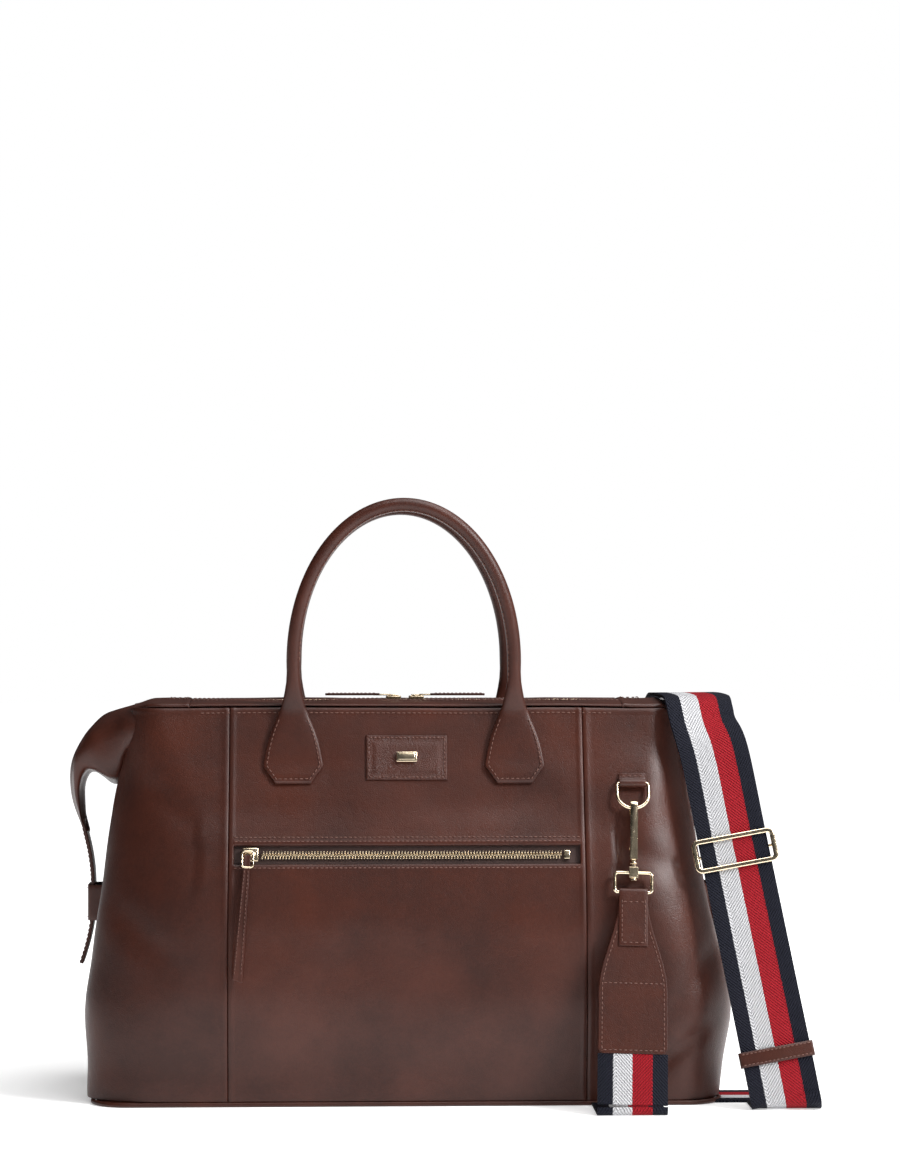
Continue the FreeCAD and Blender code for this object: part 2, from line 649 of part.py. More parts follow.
def make_ring(side):
    """The leather loop on the bag and the D-ring that hangs in it."""
    name = side_name(side)
    wire = size("wire_radius")
    half = size("ring_half")
    roll = bar(wire + 1.7, 20.4, Vec(0, 0, 0), X_AXIS)
    lift = size("ring_lift")
    sewn = block((-10.2, lift - 2.4, -1), (10.2, lift - 0.3, 7.5))
    loop = roll.fuse(sewn).cut(bar(wire + 0.3, 24, Vec(0, 0, 0), X_AXIS))
    place = on_slope(size("ring_place"), size("ring_level"), lift, side)
    keep(feature(name + "_loop", loop.removeSplitter(), place), name + "_ring_loop")

    leg, corner = size("ring_leg"), 2.5
    turn = corner * (1 - math.sqrt(0.5))
    spots = [Vec(-half, 0, -corner), Vec(-half, 0, -leg), Vec(half, 0, -leg), Vec(half, 0, -corner),
             Vec(half - corner, 0, 0), Vec(-half + corner, 0, 0)]
    edges = [Part.LineSegment(spots[0], spots[1]).toShape(),
             Part.Arc(spots[1], Vec(0, 0, -leg - half), spots[2]).toShape(),
             Part.LineSegment(spots[2], spots[3]).toShape(),
             Part.Arc(spots[3], Vec(half - turn, 0, -turn), spots[4]).toShape(),
             Part.LineSegment(spots[4], spots[5]).toShape(),
             Part.Arc(spots[5], Vec(-half + turn, 0, -turn), spots[0]).toShape()]
    ring = tube(edges, wire, spots[0], Z_AXIS)
    keep(feature(name + "_ring", ring, ring_place(side)), name + "_d_ring")


def hook_link():
    """The hook's long link, open at the back where the gate closes it, with its stud below."""
    half, outer, inner = size("hook_half"), size("hook_outer"), size("hook_inner")
    link = block((-half, -outer, -41), (half, outer, 1.3))
    link = link.fuse(bar(outer, 2 * half, Vec(0, 0, 1.3), X_AXIS))
    link = link.cut(block((-half - 1, -inner, -34), (half + 1, inner, 0)))
    link = link.cut(bar(inner, 2 * half + 2, Vec(0, 0, 0), X_AXIS))
    link = link.cut(block((-half - 1, inner - 0.6, -29), (half + 1, outer + 1, -5)))
    link = link.cut(block((-1.65, inner - 0.9, -33.2), (1.65, outer + 1, -29)))
    link = link.cut(bar(0.75, 2 * half + 2, gate_pivot(), X_AXIS))
    stud = size("stud_radius")
    link = link.fuse(Part.makeCylinder(stud, 14.4, Vec(0, 0, -55.3)))
    link = link.fuse(Part.makeCylinder(stud + 1.1, 1.2, Vec(0, 0, -44.2)))
    link = link.fuse(Part.makeCylinder(stud + 0.6, 1.7, Vec(0, 0, -57)))
    return link.removeSplitter()


def gate_pivot():
    return Vec(0, (size("hook_inner") + size("hook_outer")) / 2, -31)


def hook_gate():
    """The spring gate with its pin."""
    inner, outer = size("hook_inner") + 0.2, size("hook_outer") - 0.2
    gate = block((-2.2, inner, -28.2), (2.2, outer, -5.3))
    gate = gate.fuse(block((-1.35, inner, -31), (1.35, outer, -28.2)))
    gate = gate.fuse(bar(1.45, 2.7, gate_pivot(), X_AXIS))
    gate = gate.fuse(bar(0.7, 5.4, gate_pivot(), X_AXIS))
    return gate.removeSplitter()


def swivel_frame():
    """The rectangular ring and the block that turns on the hook's stud."""
    frame = rounded_frame(size("frame_half"), -size("frame_top"), -size("bar_drop"), 2.5, size("wire_radius"))
    frame = frame.fuse(block((-3.5, -3.2, -55), (3.5, 3.2, -46.8)))
    frame = frame.cut(Part.makeCylinder(size("stud_radius") + 0.1, 20, Vec(0, 0, -61)))
    return frame.removeSplitter()


def neck_tab():
    """The stitched leather neck folded over the ring's lower bar."""
    half, ply = size("neck_half"), size("neck_thick")
    inner = size("leather_end_thick") / 2 + 0.05
    centre = Vec(0, 0, -size("bar_drop"))
    fold = bar(inner + ply, 2 * half, centre, X_AXIS)
    fold = fold.common(block((-half, -9, -size("bar_drop")), (half, 9, 0)))
    for face in (-1, 1):
        near, far = sorted((face * inner, face * (inner + ply)))
        fold = fold.fuse(block((-half, near, -108), (half, far, -size("bar_drop"))))
    fold = fold.cut(bar(inner, 2 * half + 2, centre, X_AXIS))
    return fold.removeSplitter()


def make_chain(side):
    """Snap hook, gate, swivel ring, neck tab and the leather end of the strap."""
    name = side_name(side)
    place = chain_place(side)
    keep(feature(name + "_link", hook_link(), place), name + "_snap_hook")
    keep(feature(name + "_gate", hook_gate(), place), name + "_hook_gate")
    keep(feature(name + "_swivel", swivel_frame(), place), name + "_swivel_ring")
    keep(feature(name + "_neck", neck_tab(), place), name + "_neck_tab")
    half, drop = "Sizes.leather_end_half", "-Sizes.leather_end_drop"
    corners = mirrored([(half + " - 4", drop), (half, drop + " + 4"), (half, "-134"), ("12.2", "-84"),
                        ("10.4", "-72")])
    end = slab(name + "_end", "XZ_Plane", corners, "Sizes.leather_end_thick")
    end.Placement = place
    keep(end, name + "_strap_end")


# ---------------------------------------------------------------- webbing

def front_foot_place():
    """Where the front webbing reaches the floor."""
    place = chain_place(FRONT)
    return place.multVec(Vec(0, 0, -(place.Base.z - 8) / math.cos(math.radians(size("chain_tilt")))))


def make_webbing():
    """The striped webbing: the hanging front length, the length under the base, and the one over the top."""
    half, thick = size("web_width") / 2, size("web_thick") / 2
    place = chain_place(FRONT)
    foot = front_foot_place()
    drop = size("leather_end_drop")
    length = (place.Base - foot).Length - drop
    front = block((-half, -thick, -drop - length), (half, thick, -drop))
    keep(feature("front_length", front, place), "front_webbing")

    lie = thick + 0.05
    folds = [(0, 6.2), (-0.7, 4.2), (0.5, 2.2), (3.4, lie), (-foot.y - 93, lie)]
    route = [(Vec(foot.x, foot.y + back, up), X_AXIS) for back, up in folds]
    under = ribbon(route, size("web_width"), size("web_thick"))
    across = block((foot.x - half, -93, lie - thick), (287 + half, -40, lie + thick))
    under = Part.makeCompound([under, across])
    keep(feature("under_length", under), "webbing_under_bag")

    keep(feature("over_length", ribbon(over_route(), size("web_width"), size("web_thick"))),
         "webbing_over_bag")


def over_route():
    """The strap from its foot on the right, up the front, over the top and down the back."""
    top, bottom = run_ends()
    level, lean, square = X_AXIS, Vec(0.976, 0, 0.18), Vec(0.98, 0.18, 0)
    lie = size("web_thick") / 2 + 0.05
    front = [(287, -93.2, lie), (287, -123, lie + 0.1), (286.5, -129, 2.9), (285.6, -132.4, 6),
             (284.3, -133.2, 12)]
    crest = [(230.5, -62.5, 290), (228.6, -57.5, 300), (227.6, -53, 306), (227, -46, 309.2),
             (226.4, -34, 310.2), (224.2, 30, 310.2), (223.4, 46, 309.4), (222.4, 57, 306.4), (221, 66, 300)]
    back = [(218, 80, 282), (214, 95, 255), (209.5, 112, 222), (202.5, 131, 170), (191, 150, 110),
            (179, 162.5, 60), (174, 167.5, 30), (172, 168, 15), (170.8, 165.5, 7), (170, 160.5, 3.4),
            (169.2, 155.6, 6.6), (168.8, 152.8, 14), (168.4, 150.6, 24)]
    end = chain_place(REAR).multVec(Vec(0, 0, -size("leather_end_drop") - 1.4))
    route = [(Vec(*spot), level) for spot in front]
    route += [(bottom, lean), (top, lean)]
    route += [(Vec(*spot), square) for spot in crest]
    route += [(Vec(*spot), level) for spot in back]
    return route + [(end, level)]


def run_ends():
    """Top and bottom of the straight stretch at the front."""
    return Vec(238, -74, 266), Vec(281, -131.5, 30)


def run_place(share):
    """A frame on the straight stretch: +Z up along the webbing, -Y out of its face."""
    top, bottom = run_ends()
    spot = bottom + (top - bottom) * share
    along = (top - bottom).normalize()
    across = Vec(0.976, 0, 0.18)
    across = (across - along * across.dot(along)).normalize()
    inward = along.cross(across)
    return Place(spot, Rot(across, inward, along, "XYZ"))


def make_strap_slider():
    """The metal slider: a flat frame over the webbing, with its bar behind."""
    half, tall, wide = size("buckle_half"), size("buckle_height") / 2, size("buckle_bar") / 2
    out = size("web_thick") / 2 + 0.5
    frame = block((-half - wide, -out - 2 * wide, -tall), (half + wide, -out, tall))
    frame = frame.cut(block((-half + wide, -20, -tall + 2 * wide), (half - wide, 20, tall - 2 * wide)))
    for end in (-1, 1):
        near, far = sorted((end * (half - wide), end * (half + wide)))
        frame = frame.fuse(block((near, -out, -wide), (far, out + 2.4, wide)))
    frame = frame.fuse(block((-half, out, -1.2), (half, out + 2.4, 1.2))).removeSplitter()
    keep(feature("slider_frame", frame, run_place(0.69)), "strap_slider")


def make_strap_keeper():
    """The leather loop that holds the webbing together near the floor."""
    half, wall = size("web_width") / 2 + 0.6, size("loop_wall")
    deep, tall = size("web_thick") / 2 + 0.6, size("loop_height") / 2
    loop = block((-half - wall, -deep - wall, -tall), (half + wall, deep + wall, tall))
    loop = loop.cut(block((-half, -deep, -tall - 1), (half, deep, tall + 1)))
    keep(feature("loop", loop, run_place(0.05)), "strap_keeper")


# ---------------------------------------------------------------- the whole bag

def build():
    make_shell()
    make_base()
    make_lining()
    make_ears()
    for side in (FRONT, REAR):
        make_flap(side)
        make_handle(side)
        make_handle_tabs(side)
        make_ring(side)
        make_chain(side)
    for end in (-1, 1):
        make_top_slider(end)
    make_pocket()
    make_patch()
    make_webbing()
    make_strap_slider()
    make_strap_keeper()
    doc.recompute()


def check_and_write():
    for thing in doc.Objects:
        if "Invalid" in thing.State or "Error" in thing.State:
            raise RuntimeError("%s did not recompute: %s" % (thing.Label, thing.State))
    os.makedirs("parts", exist_ok=True)
    for node in NODES:
        if node.Shape.isNull() or not node.Shape.isValid():
            raise RuntimeError("%s has no valid shape" % node.Label)
        node.Shape.exportStep("parts/%s.step" % node.Label)
        bounds = node.Shape.BoundBox
        print("%-20s solids %d volume %9.0f  x %6.1f %6.1f  y %6.1f %6.1f  z %6.1f %6.1f" % (
            node.Label, len(node.Shape.Solids), node.Shape.Volume, bounds.XMin, bounds.XMax,
            bounds.YMin, bounds.YMax, bounds.ZMin, bounds.ZMax))
    print(len(NODES), "nodes")


build()
check_and_write()
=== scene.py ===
"""Looks of the weekender bag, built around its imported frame. Metres, +Z up, -Y is the front."""

import json
import math

import bmesh
import bpy
from mathutils import Matrix, Vector, noise


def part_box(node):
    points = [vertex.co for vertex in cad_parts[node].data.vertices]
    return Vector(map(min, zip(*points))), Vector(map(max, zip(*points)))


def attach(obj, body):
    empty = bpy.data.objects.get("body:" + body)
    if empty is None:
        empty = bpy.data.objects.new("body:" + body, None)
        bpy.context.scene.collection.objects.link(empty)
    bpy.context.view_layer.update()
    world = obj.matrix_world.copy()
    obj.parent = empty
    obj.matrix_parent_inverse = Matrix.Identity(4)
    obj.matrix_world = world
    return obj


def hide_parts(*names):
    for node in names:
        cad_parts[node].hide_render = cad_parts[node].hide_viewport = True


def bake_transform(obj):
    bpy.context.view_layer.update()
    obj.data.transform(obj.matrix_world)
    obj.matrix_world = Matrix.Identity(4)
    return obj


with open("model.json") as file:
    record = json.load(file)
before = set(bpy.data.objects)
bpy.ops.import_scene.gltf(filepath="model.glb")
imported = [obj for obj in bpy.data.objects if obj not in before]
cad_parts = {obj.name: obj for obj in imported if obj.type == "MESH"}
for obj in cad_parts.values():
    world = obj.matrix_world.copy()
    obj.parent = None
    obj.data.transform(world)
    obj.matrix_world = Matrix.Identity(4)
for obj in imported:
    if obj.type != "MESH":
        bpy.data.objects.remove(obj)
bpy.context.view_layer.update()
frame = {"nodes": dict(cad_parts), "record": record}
NODES = frame["nodes"]
FRONT = -1
REAR = 1
LEFT = -1
RIGHT = 1

# the leather form: level, half length, half depth and corner radius of each section
FORM = ((0.004, 0.241, 0.103, 0.028), (0.070, 0.246, 0.112, 0.040),
        (0.150, 0.235, 0.106, 0.042), (0.303, 0.214, 0.052, 0.026))
FOOT = FORM[0][0]
WAIST = FORM[2][0]
CROWN = FORM[3][0]
CROWN_DEPTH = FORM[3][2]
CROWN_END = FORM[3][1]
# half widths of the middle panel and of the end panel, and the leather's thickness
SEAM = 0.1368
GUSSET = 0.036
LEATHER = 0.0024
# how far the front leans back from upright
SLOPE = math.atan2(FORM[2][2] - CROWN_DEPTH, CROWN - WAIST)
# the pocket's window: level of its middle, height along the face, and half its length
POCKET_LEVEL = 0.191
POCKET_SLOT = 0.0145
POCKET_HALF = 0.1325
# how far in from a turned edge the leather rolls over
SEAM_ROLL = 0.0009
WEB_WIDTH, WEB_THICK = 0.053, 0.0022


# ---------------------------------------------------------------- small helpers

def lerp(start, end, share):
    """The value a share of the way from start to end."""
    return start + (end - start) * share


def smooth(share):
    """0 to 1 with a soft start and end."""
    share = min(max(share, 0.0), 1.0)
    return share * share * (3 - 2 * share)


def shade_smooth(mesh):
    """Shade every face of a mesh smoothly."""
    mesh.polygons.foreach_set("use_smooth", [True] * len(mesh.polygons))


def new_object(name, verts, faces, material, smooth_shade=True):
    """A mesh object from its points and faces."""
    mesh = bpy.data.meshes.new(name)
    mesh.from_pydata([tuple(v) for v in verts], [], faces)
    mesh.validate()
    mesh.update()
    if smooth_shade:
        shade_smooth(mesh)
    thing = bpy.data.objects.new(name, mesh)
    bpy.context.collection.objects.link(thing)
    mesh.materials.append(material)
    return thing


def place_piece(thing, body, slot, *nodes):
    """Ride on a body and stand for CAD nodes; the slot is not used."""
    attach(thing, body)
    if nodes:
        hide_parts(*nodes)
    return thing


def modify(thing, kind, **values):
    """Add a modifier and bake it into the mesh."""
    modifier = thing.modifiers.new(kind.title(), kind)
    for key, value in values.items():
        setattr(modifier, key, value)
    bake(thing)
    return thing


def bake(thing):
    """Apply every modifier on a mesh."""
    depsgraph = bpy.context.evaluated_depsgraph_get()
    mesh = bpy.data.meshes.new_from_object(thing.evaluated_get(depsgraph))
    thing.modifiers.clear()
    old = thing.data
    thing.data = mesh
    bpy.data.meshes.remove(old)


def recalc(thing):
    """Point every face outwards."""
    work = bmesh.new()
    work.from_mesh(thing.data)
    bmesh.ops.recalc_face_normals(work, faces=work.faces)
    work.to_mesh(thing.data)
    work.free()
    return thing


def grid_faces(rows, columns, wrap=False):
    """Faces of a grid of points stored row by row."""
    faces = []
    for row in range(rows - 1):
        for column in range(columns if wrap else columns - 1):
            a = row * columns + column
            b = row * columns + (column + 1) % columns
            faces.append((a, b, b + columns, a + columns))
    return faces


# ---------------------------------------------------------------- materials

def node_material(name):
    """A new material with its node tree and its main shader."""
    material = bpy.data.materials.new(name)
    material.use_nodes = True
    tree = material.node_tree
    return material, tree, tree.nodes["Principled BSDF"]


def add_node(tree, kind, **inputs):
    """A new node with values on its inputs; an underscore stands for a space in an input's name."""
    made = tree.nodes.new(kind)
    for key, value in inputs.items():
        made.inputs[key.replace("_", " ")].default_value = value
    return made


def noise_at(tree, space, scale, detail, rough=0.5):
    """A noise texture over a space."""
    made = add_node(tree, "ShaderNodeTexNoise", Scale=scale, Detail=detail, Roughness=rough)
    tree.links.new(space, made.inputs["Vector"])
    return made


def cell_lines(tree, space, scale, width):
    """Lines between rounded cells: 0 on a line, 1 beyond its width."""
    cells = add_node(tree, "ShaderNodeTexVoronoi", Scale=scale)
    cells.feature = "DISTANCE_TO_EDGE"
    tree.links.new(space, cells.inputs["Vector"])
    reach = add_node(tree, "ShaderNodeMapRange", From_Max=width)
    tree.links.new(cells.outputs["Distance"], reach.inputs["Value"])
    return reach.outputs[0]


def ramp(tree, source, low, high, colours):
    """A colour ramp over a factor, from low to high."""
    made = tree.nodes.new("ShaderNodeValToRGB")
    made.color_ramp.elements[0].position = low
    made.color_ramp.elements[1].position = high
    made.color_ramp.elements[0].color = (*colours[0], 1)
    made.color_ramp.elements[1].color = (*colours[1], 1)
    tree.links.new(source, made.inputs["Fac"])
    return made.outputs["Color"]


def math_node(tree, operation, first, second=None):
    """The result of a sum on two numbers or sockets."""
    made = tree.nodes.new("ShaderNodeMath")
    made.operation = operation
    for index, value in enumerate((first, second)):
        if value is None:
            continue
        if isinstance(value, (int, float)):
            made.inputs[index].default_value = value
        else:
            tree.links.new(value, made.inputs[index])
    return made.outputs[0]


def bump(tree, height, strength, distance, under=None):
    """Relief from a height, laid over any relief under it."""
    made = add_node(tree, "ShaderNodeBump", Strength=strength, Distance=distance)
    tree.links.new(height, made.inputs["Height"])
    if under is not None:
        tree.links.new(under, made.inputs["Normal"])
    return made.outputs["Normal"]


def object_space(tree):
    return tree.nodes.new("ShaderNodeTexCoord").outputs["Object"]


def leather(name, dark, light, rough, grain=1.0):
    """Smooth full-grain leather: clouded colour, fine pebble, soft creases, and a worn sheen."""
    material, tree, shader = node_material(name)
    space = object_space(tree)
    cloud = noise_at(tree, space, 16.0, 6.0, 0.62)
    fine = noise_at(tree, space, 420.0, 3.0, 0.6)
    warp = noise_at(tree, space, 60.0, 2.0)
    wander = tree.nodes.new("ShaderNodeVectorMath")
    wander.operation = "MULTIPLY_ADD"
    wander.inputs[1].default_value = (0.012, 0.012, 0.012)
    tree.links.new(warp.outputs["Color"], wander.inputs[0])
    tree.links.new(space, wander.inputs[2])

    tone = math_node(tree, "ADD", math_node(tree, "MULTIPLY", cloud.outputs["Fac"], 0.8),
                     math_node(tree, "MULTIPLY", fine.outputs["Fac"], 0.2))
    tree.links.new(ramp(tree, tone, 0.36, 0.66, (dark, light)), shader.inputs["Base Color"])
    dull, polished = (rough + 0.07,) * 3, (rough - 0.06,) * 3
    tree.links.new(ramp(tree, cloud.outputs["Fac"], 0.3, 0.7, (dull, polished)), shader.inputs["Roughness"])

    creases = bump(tree, cell_lines(tree, wander.outputs[0], 150.0, 0.05), 0.10 * grain, 0.0006)
    pebble = bump(tree, cell_lines(tree, space, 780.0, 0.22), 0.22 * grain, 0.0003, creases)
    waves = bump(tree, cloud.outputs["Fac"], 0.18, 0.004, pebble)
    tree.links.new(waves, shader.inputs["Normal"])
    shader.inputs["Specular IOR Level"].default_value = 0.28
    shader.inputs["Coat Weight"].default_value = 0.10
    shader.inputs["Coat Roughness"].default_value = 0.32
    return material


def gold(name, tint=(0.93, 0.77, 0.55), rough=0.16):
    """Polished pale gold plating with faint brush marks and a few handling scuffs."""
    material, tree, shader = node_material(name)
    space = object_space(tree)
    scuff = noise_at(tree, space, 260.0, 5.0, 0.7).outputs["Fac"]
    brush = noise_at(tree, space, 900.0, 2.0).outputs["Fac"]
    shade = tuple(value * 0.88 for value in tint)
    polished, worn = (rough,) * 3, (rough + 0.14,) * 3
    tree.links.new(ramp(tree, scuff, 0.35, 0.6, (shade, tint)), shader.inputs["Base Color"])
    tree.links.new(ramp(tree, scuff, 0.4, 0.75, (polished, worn)), shader.inputs["Roughness"])
    tree.links.new(bump(tree, brush, 0.05, 0.0002), shader.inputs["Normal"])
    shader.inputs["Metallic"].default_value = 1.0
    return material


def cloth(name, dark, light, pitch):
    """Plain woven cloth: over and under threads in relief, painted shade where the threads dip, and uneven
    dye.
    """
    material, tree, shader = node_material(name)
    space = object_space(tree)
    waves = []
    for axis in ("X", "Z"):
        wave = add_node(tree, "ShaderNodeTexWave", Scale=math.pi / pitch / 10, Distortion=0.4, Detail=1.0)
        wave.bands_direction = axis
        tree.links.new(space, wave.inputs["Vector"])
        waves.append(wave.outputs["Fac"])
    weave = math_node(tree, "MULTIPLY", *waves)
    cloud = noise_at(tree, space, 40.0, 4.0)
    # half of the tone is the weave, which darkens the colour where its relief dips (painted shade); the
    # other half is the cloud, which is uneven dye
    tone = math_node(tree, "ADD", math_node(tree, "MULTIPLY", weave, 0.5),
                     math_node(tree, "MULTIPLY", cloud.outputs["Fac"], 0.5))
    tree.links.new(ramp(tree, tone, 0.2, 0.8, (dark, light)), shader.inputs["Base Color"])
    tree.links.new(bump(tree, weave, 0.4, 0.0003), shader.inputs["Normal"])
    shader.inputs["Roughness"].default_value = 0.85
    shader.inputs["Sheen Weight"].default_value = 0.25
    return material


TWILL_PITCH = 0.0027
WARP_PITCH = 0.0012
# the twill turns round after each run across the webbing
TWILL_RUN = 0.0135
NAVY, WHITE, RED = (0.007, 0.008, 0.017, 1), (0.62, 0.62, 0.64, 1), (0.34, 0.006, 0.014, 1)
# the woven bands: where each starts, as a share of the width, and its colour
BANDS = ((0.0, NAVY), (0.215, WHITE), (0.49, RED), (0.78, NAVY))


def webbing_cloth(name):
    """Twill webbing with four woven bands: navy, white, red, navy, from its left edge to its right; the
    grooves of its twill are darkened in the colour, which is painted shade.
    """
    material, tree, shader = node_material(name)
    uv = tree.nodes.new("ShaderNodeUVMap")
    uv.uv_map = "strip"
    parts = tree.nodes.new("ShaderNodeSeparateXYZ")
    tree.links.new(uv.outputs["UV"], parts.inputs[0])
    across, along = parts.outputs[0], parts.outputs[1]

    wobble = noise_at(tree, object_space(tree), 700.0, 2.0)
    wander = math_node(tree, "MULTIPLY", math_node(tree, "SUBTRACT", wobble.outputs["Fac"], 0.5), 0.0012)
    bands = tree.nodes.new("ShaderNodeValToRGB")
    bands.color_ramp.interpolation = "CONSTANT"
    stops = bands.color_ramp.elements
    while len(stops) < len(BANDS):
        stops.new(1.0)
    for stop, (position, colour) in zip(stops, BANDS):
        stop.position = position
        stop.color = colour
    share = math_node(tree, "DIVIDE", math_node(tree, "ADD", across, wander), WEB_WIDTH)
    tree.links.new(share, bands.inputs["Fac"])

    fold = math_node(tree, "PINGPONG", across, TWILL_RUN)
    diagonal = math_node(tree, "ADD", math_node(tree, "MULTIPLY", fold, 1.1), along)
    rib = math_node(tree, "SINE", math_node(tree, "MULTIPLY", diagonal, 2 * math.pi / TWILL_PITCH))
    warp = math_node(tree, "SINE", math_node(tree, "MULTIPLY", across, 2 * math.pi / WARP_PITCH))
    height = math_node(tree, "ADD", rib, math_node(tree, "MULTIPLY", warp, 0.35))
    # painted shade: the band colours are darkened to as little as half in the twill's grooves, following the
    # same height as the relief
    shade = add_node(tree, "ShaderNodeMapRange", From_Min=-1.3, From_Max=1.0, To_Min=0.50)
    tree.links.new(height, shade.inputs["Value"])
    tint = tree.nodes.new("ShaderNodeMix")
    tint.data_type = "RGBA"
    tint.blend_type = "MULTIPLY"
    tint.inputs["Factor"].default_value = 1.0
    tree.links.new(bands.outputs["Color"], tint.inputs["A"])
    tree.links.new(shade.outputs[0], tint.inputs["B"])
    tree.links.new(tint.outputs["Result"], shader.inputs["Base Color"])
    tree.links.new(bump(tree, height, 0.8, 0.0005), shader.inputs["Normal"])
    shader.inputs["Roughness"].default_value = 0.8
    shader.inputs["Specular IOR Level"].default_value = 0.2
    return material


def thread(name, colour):
    """Waxed sewing thread, twisted."""
    material, tree, shader = node_material(name)
    twist = noise_at(tree, object_space(tree), 1500.0, 2.0)
    dark = tuple(value * 0.55 for value in colour)
    tree.links.new(ramp(tree, twist.outputs["Fac"], 0.35, 0.65, (dark, colour)), shader.inputs["Base Color"])
    shader.inputs["Roughness"].default_value = 0.55
    return material


def floor_material():
    """A white sweep whose emission is painted light: it glows less near the bag and more away from it,
    standing in for studio lamps lighting a table.
    """
    material, tree, shader = node_material("white_floor_with_painted_glow")
    cloud = noise_at(tree, object_space(tree), 1.5, 3.0)
    tree.links.new(ramp(tree, cloud.outputs["Fac"], 0.3, 0.7, ((0.86,) * 3, (0.88,) * 3)),
                   shader.inputs["Base Color"])
    reach = tree.nodes.new("ShaderNodeVectorMath")
    reach.operation = "LENGTH"
    tree.links.new(object_space(tree), reach.inputs[0])
    # painted light: the emission strength rises from 0.42 near the bag's middle to 0.98 a metre away, so the
    # floor glows though it is no lamp
    painted_glow = add_node(tree, "ShaderNodeMapRange", From_Min=0.25, From_Max=1.0, To_Min=0.42, To_Max=0.98)
    tree.links.new(reach.outputs["Value"], painted_glow.inputs["Value"])
    tree.links.new(painted_glow.outputs[0], shader.inputs["Emission Strength"])
    shader.inputs["Emission Color"].default_value = (1, 1, 1, 1)
    shader.inputs["Roughness"].default_value = 0.9
    return material


BROWN = leather("brown_leather", (0.031, 0.0074, 0.0040), (0.062, 0.0162, 0.0092), 0.40)
BROWN_GRAIN = leather("grained_leather", (0.035, 0.0084, 0.0046), (0.070, 0.0188, 0.0108), 0.36, grain=2.4)
GOLD = gold("pale_gold")
TEETH = gold("tooth_gold", (0.90, 0.74, 0.52), 0.22)
LINING = cloth("lining_cloth", (0.045, 0.035, 0.030), (0.085, 0.068, 0.058), 0.0006)
TAPE = cloth("zip_tape", (0.022, 0.008, 0.006), (0.048, 0.019, 0.014), 0.0005)
BOARD = cloth("board", (0.02, 0.02, 0.02), (0.05, 0.05, 0.05), 0.002)
ROPE = cloth("rope_core", (0.35, 0.31, 0.25), (0.60, 0.54, 0.45), 0.0012)
WEBBING = webbing_cloth("striped_webbing")
THREAD = thread("brown_thread", (0.150, 0.062, 0.044))
SLOT_MATERIAL = {"brown_leather": BROWN, "pale_gold": GOLD, "lining_cloth": LINING, "zip_tape": TAPE,
                 "board": BOARD, "rope_core": ROPE, "striped_webbing": WEBBING}


def paint_frame():
    """Give every CAD node the material of its slot."""
    for part in frame["record"]["subparts"]:
        mesh = NODES[part["node"]].data
        mesh.materials.clear()
        mesh.materials.append(SLOT_MATERIAL[part["material_slot"]])


# ---------------------------------------------------------------- the leather form

# where in the noise the leather's hollows are taken from
SAG_PLACE = Vector((3.7, 1.9, 8.2))
# how far the right end swells near the base, and the left end below the top
BULGE = 0.009
LEFT_FULLNESS = 0.005
# how much wider than the form's corners the soft ones are
SOFT_CORNER, SOFTEST_CORNER = 0.3, 1.1
# where a D-ring's plate holds the leather, as (x, level)
RING_SPOT = (0.174, 0.243)
# furrows on the front, and turned round to the rear: start and end as (x, level), depth and width
FURROWS = (((0.232, 0.060), (0.190, 0.030), 0.0030, 0.007),
           ((0.240, 0.120), (0.205, 0.075), 0.0016, 0.009),
           ((-0.205, 0.245), (-0.165, 0.215), 0.0015, 0.010),
           ((-0.060, 0.180), (0.050, 0.172), 0.0009, 0.012),
           ((0.150, 0.205), (0.205, 0.180), 0.0016, 0.009),
           ((-0.110, 0.250), (-0.050, 0.262), 0.0009, 0.012),
           ((0.060, 0.226), (0.120, 0.240), 0.0009, 0.012),
           ((-0.225, 0.150), (-0.180, 0.110), 0.0016, 0.012))


def raw_section(level):
    """Half length, half depth and corner radius at a level, straight between the form's sections."""
    level = min(max(level, FOOT), CROWN)
    for low, high in zip(FORM, FORM[1:]):
        if level <= high[0]:
            break
    share = (level - low[0]) / (high[0] - low[0])
    return [lerp(start, end, share) for start, end in zip(low[1:], high[1:])]


def section(level):
    """Half length, half depth and corner radius at a level, with the folds between sections eased."""
    reach = min(0.016, max(level - FOOT, 0), max(CROWN - level, 0))
    samples = [raw_section(level + reach * step / 2) for step in (-2, -1, 0, 1, 2)]
    return [sum(values) / 5 for values in zip(*samples)]


def quarter(level, end, side):
    """A quarter of the outline at a level, from the seam round to the end's middle, as (x, depth)."""
    length, depth, corner = section(level)
    soft = smooth((CROWN - level) / 0.08)
    if end == RIGHT:
        length += BULGE * math.exp(-((level - 0.085) / 0.055) ** 2)
    else:
        length += LEFT_FULLNESS * soft
    stretch = 1 + (SOFTEST_CORNER if end == LEFT and side == FRONT else SOFT_CORNER) * soft
    wide = min(corner * stretch, length - SEAM - 0.004)
    deep = min(corner * (1 + 0.35 * soft), depth - 0.004)
    spots = [(SEAM, depth)]
    for step in range(25):
        turn = math.pi / 2 * step / 24
        spots.append((length - wide + wide * math.sin(turn), depth - deep + deep * math.cos(turn)))
    spots.append((length, 0.0))
    return spots


def cut_at_gusset(spots):
    """The outline before and after the gusset seam."""
    for index in range(1, len(spots)):
        if spots[index][1] <= GUSSET:
            (x0, y0), (x1, y1) = spots[index - 1], spots[index]
            share = (y0 - GUSSET) / (y0 - y1)
            seam = (lerp(x0, x1, share), GUSSET)
            return spots[:index] + [seam], [seam] + spots[index:]
    raise ValueError("the outline has no gusset seam")


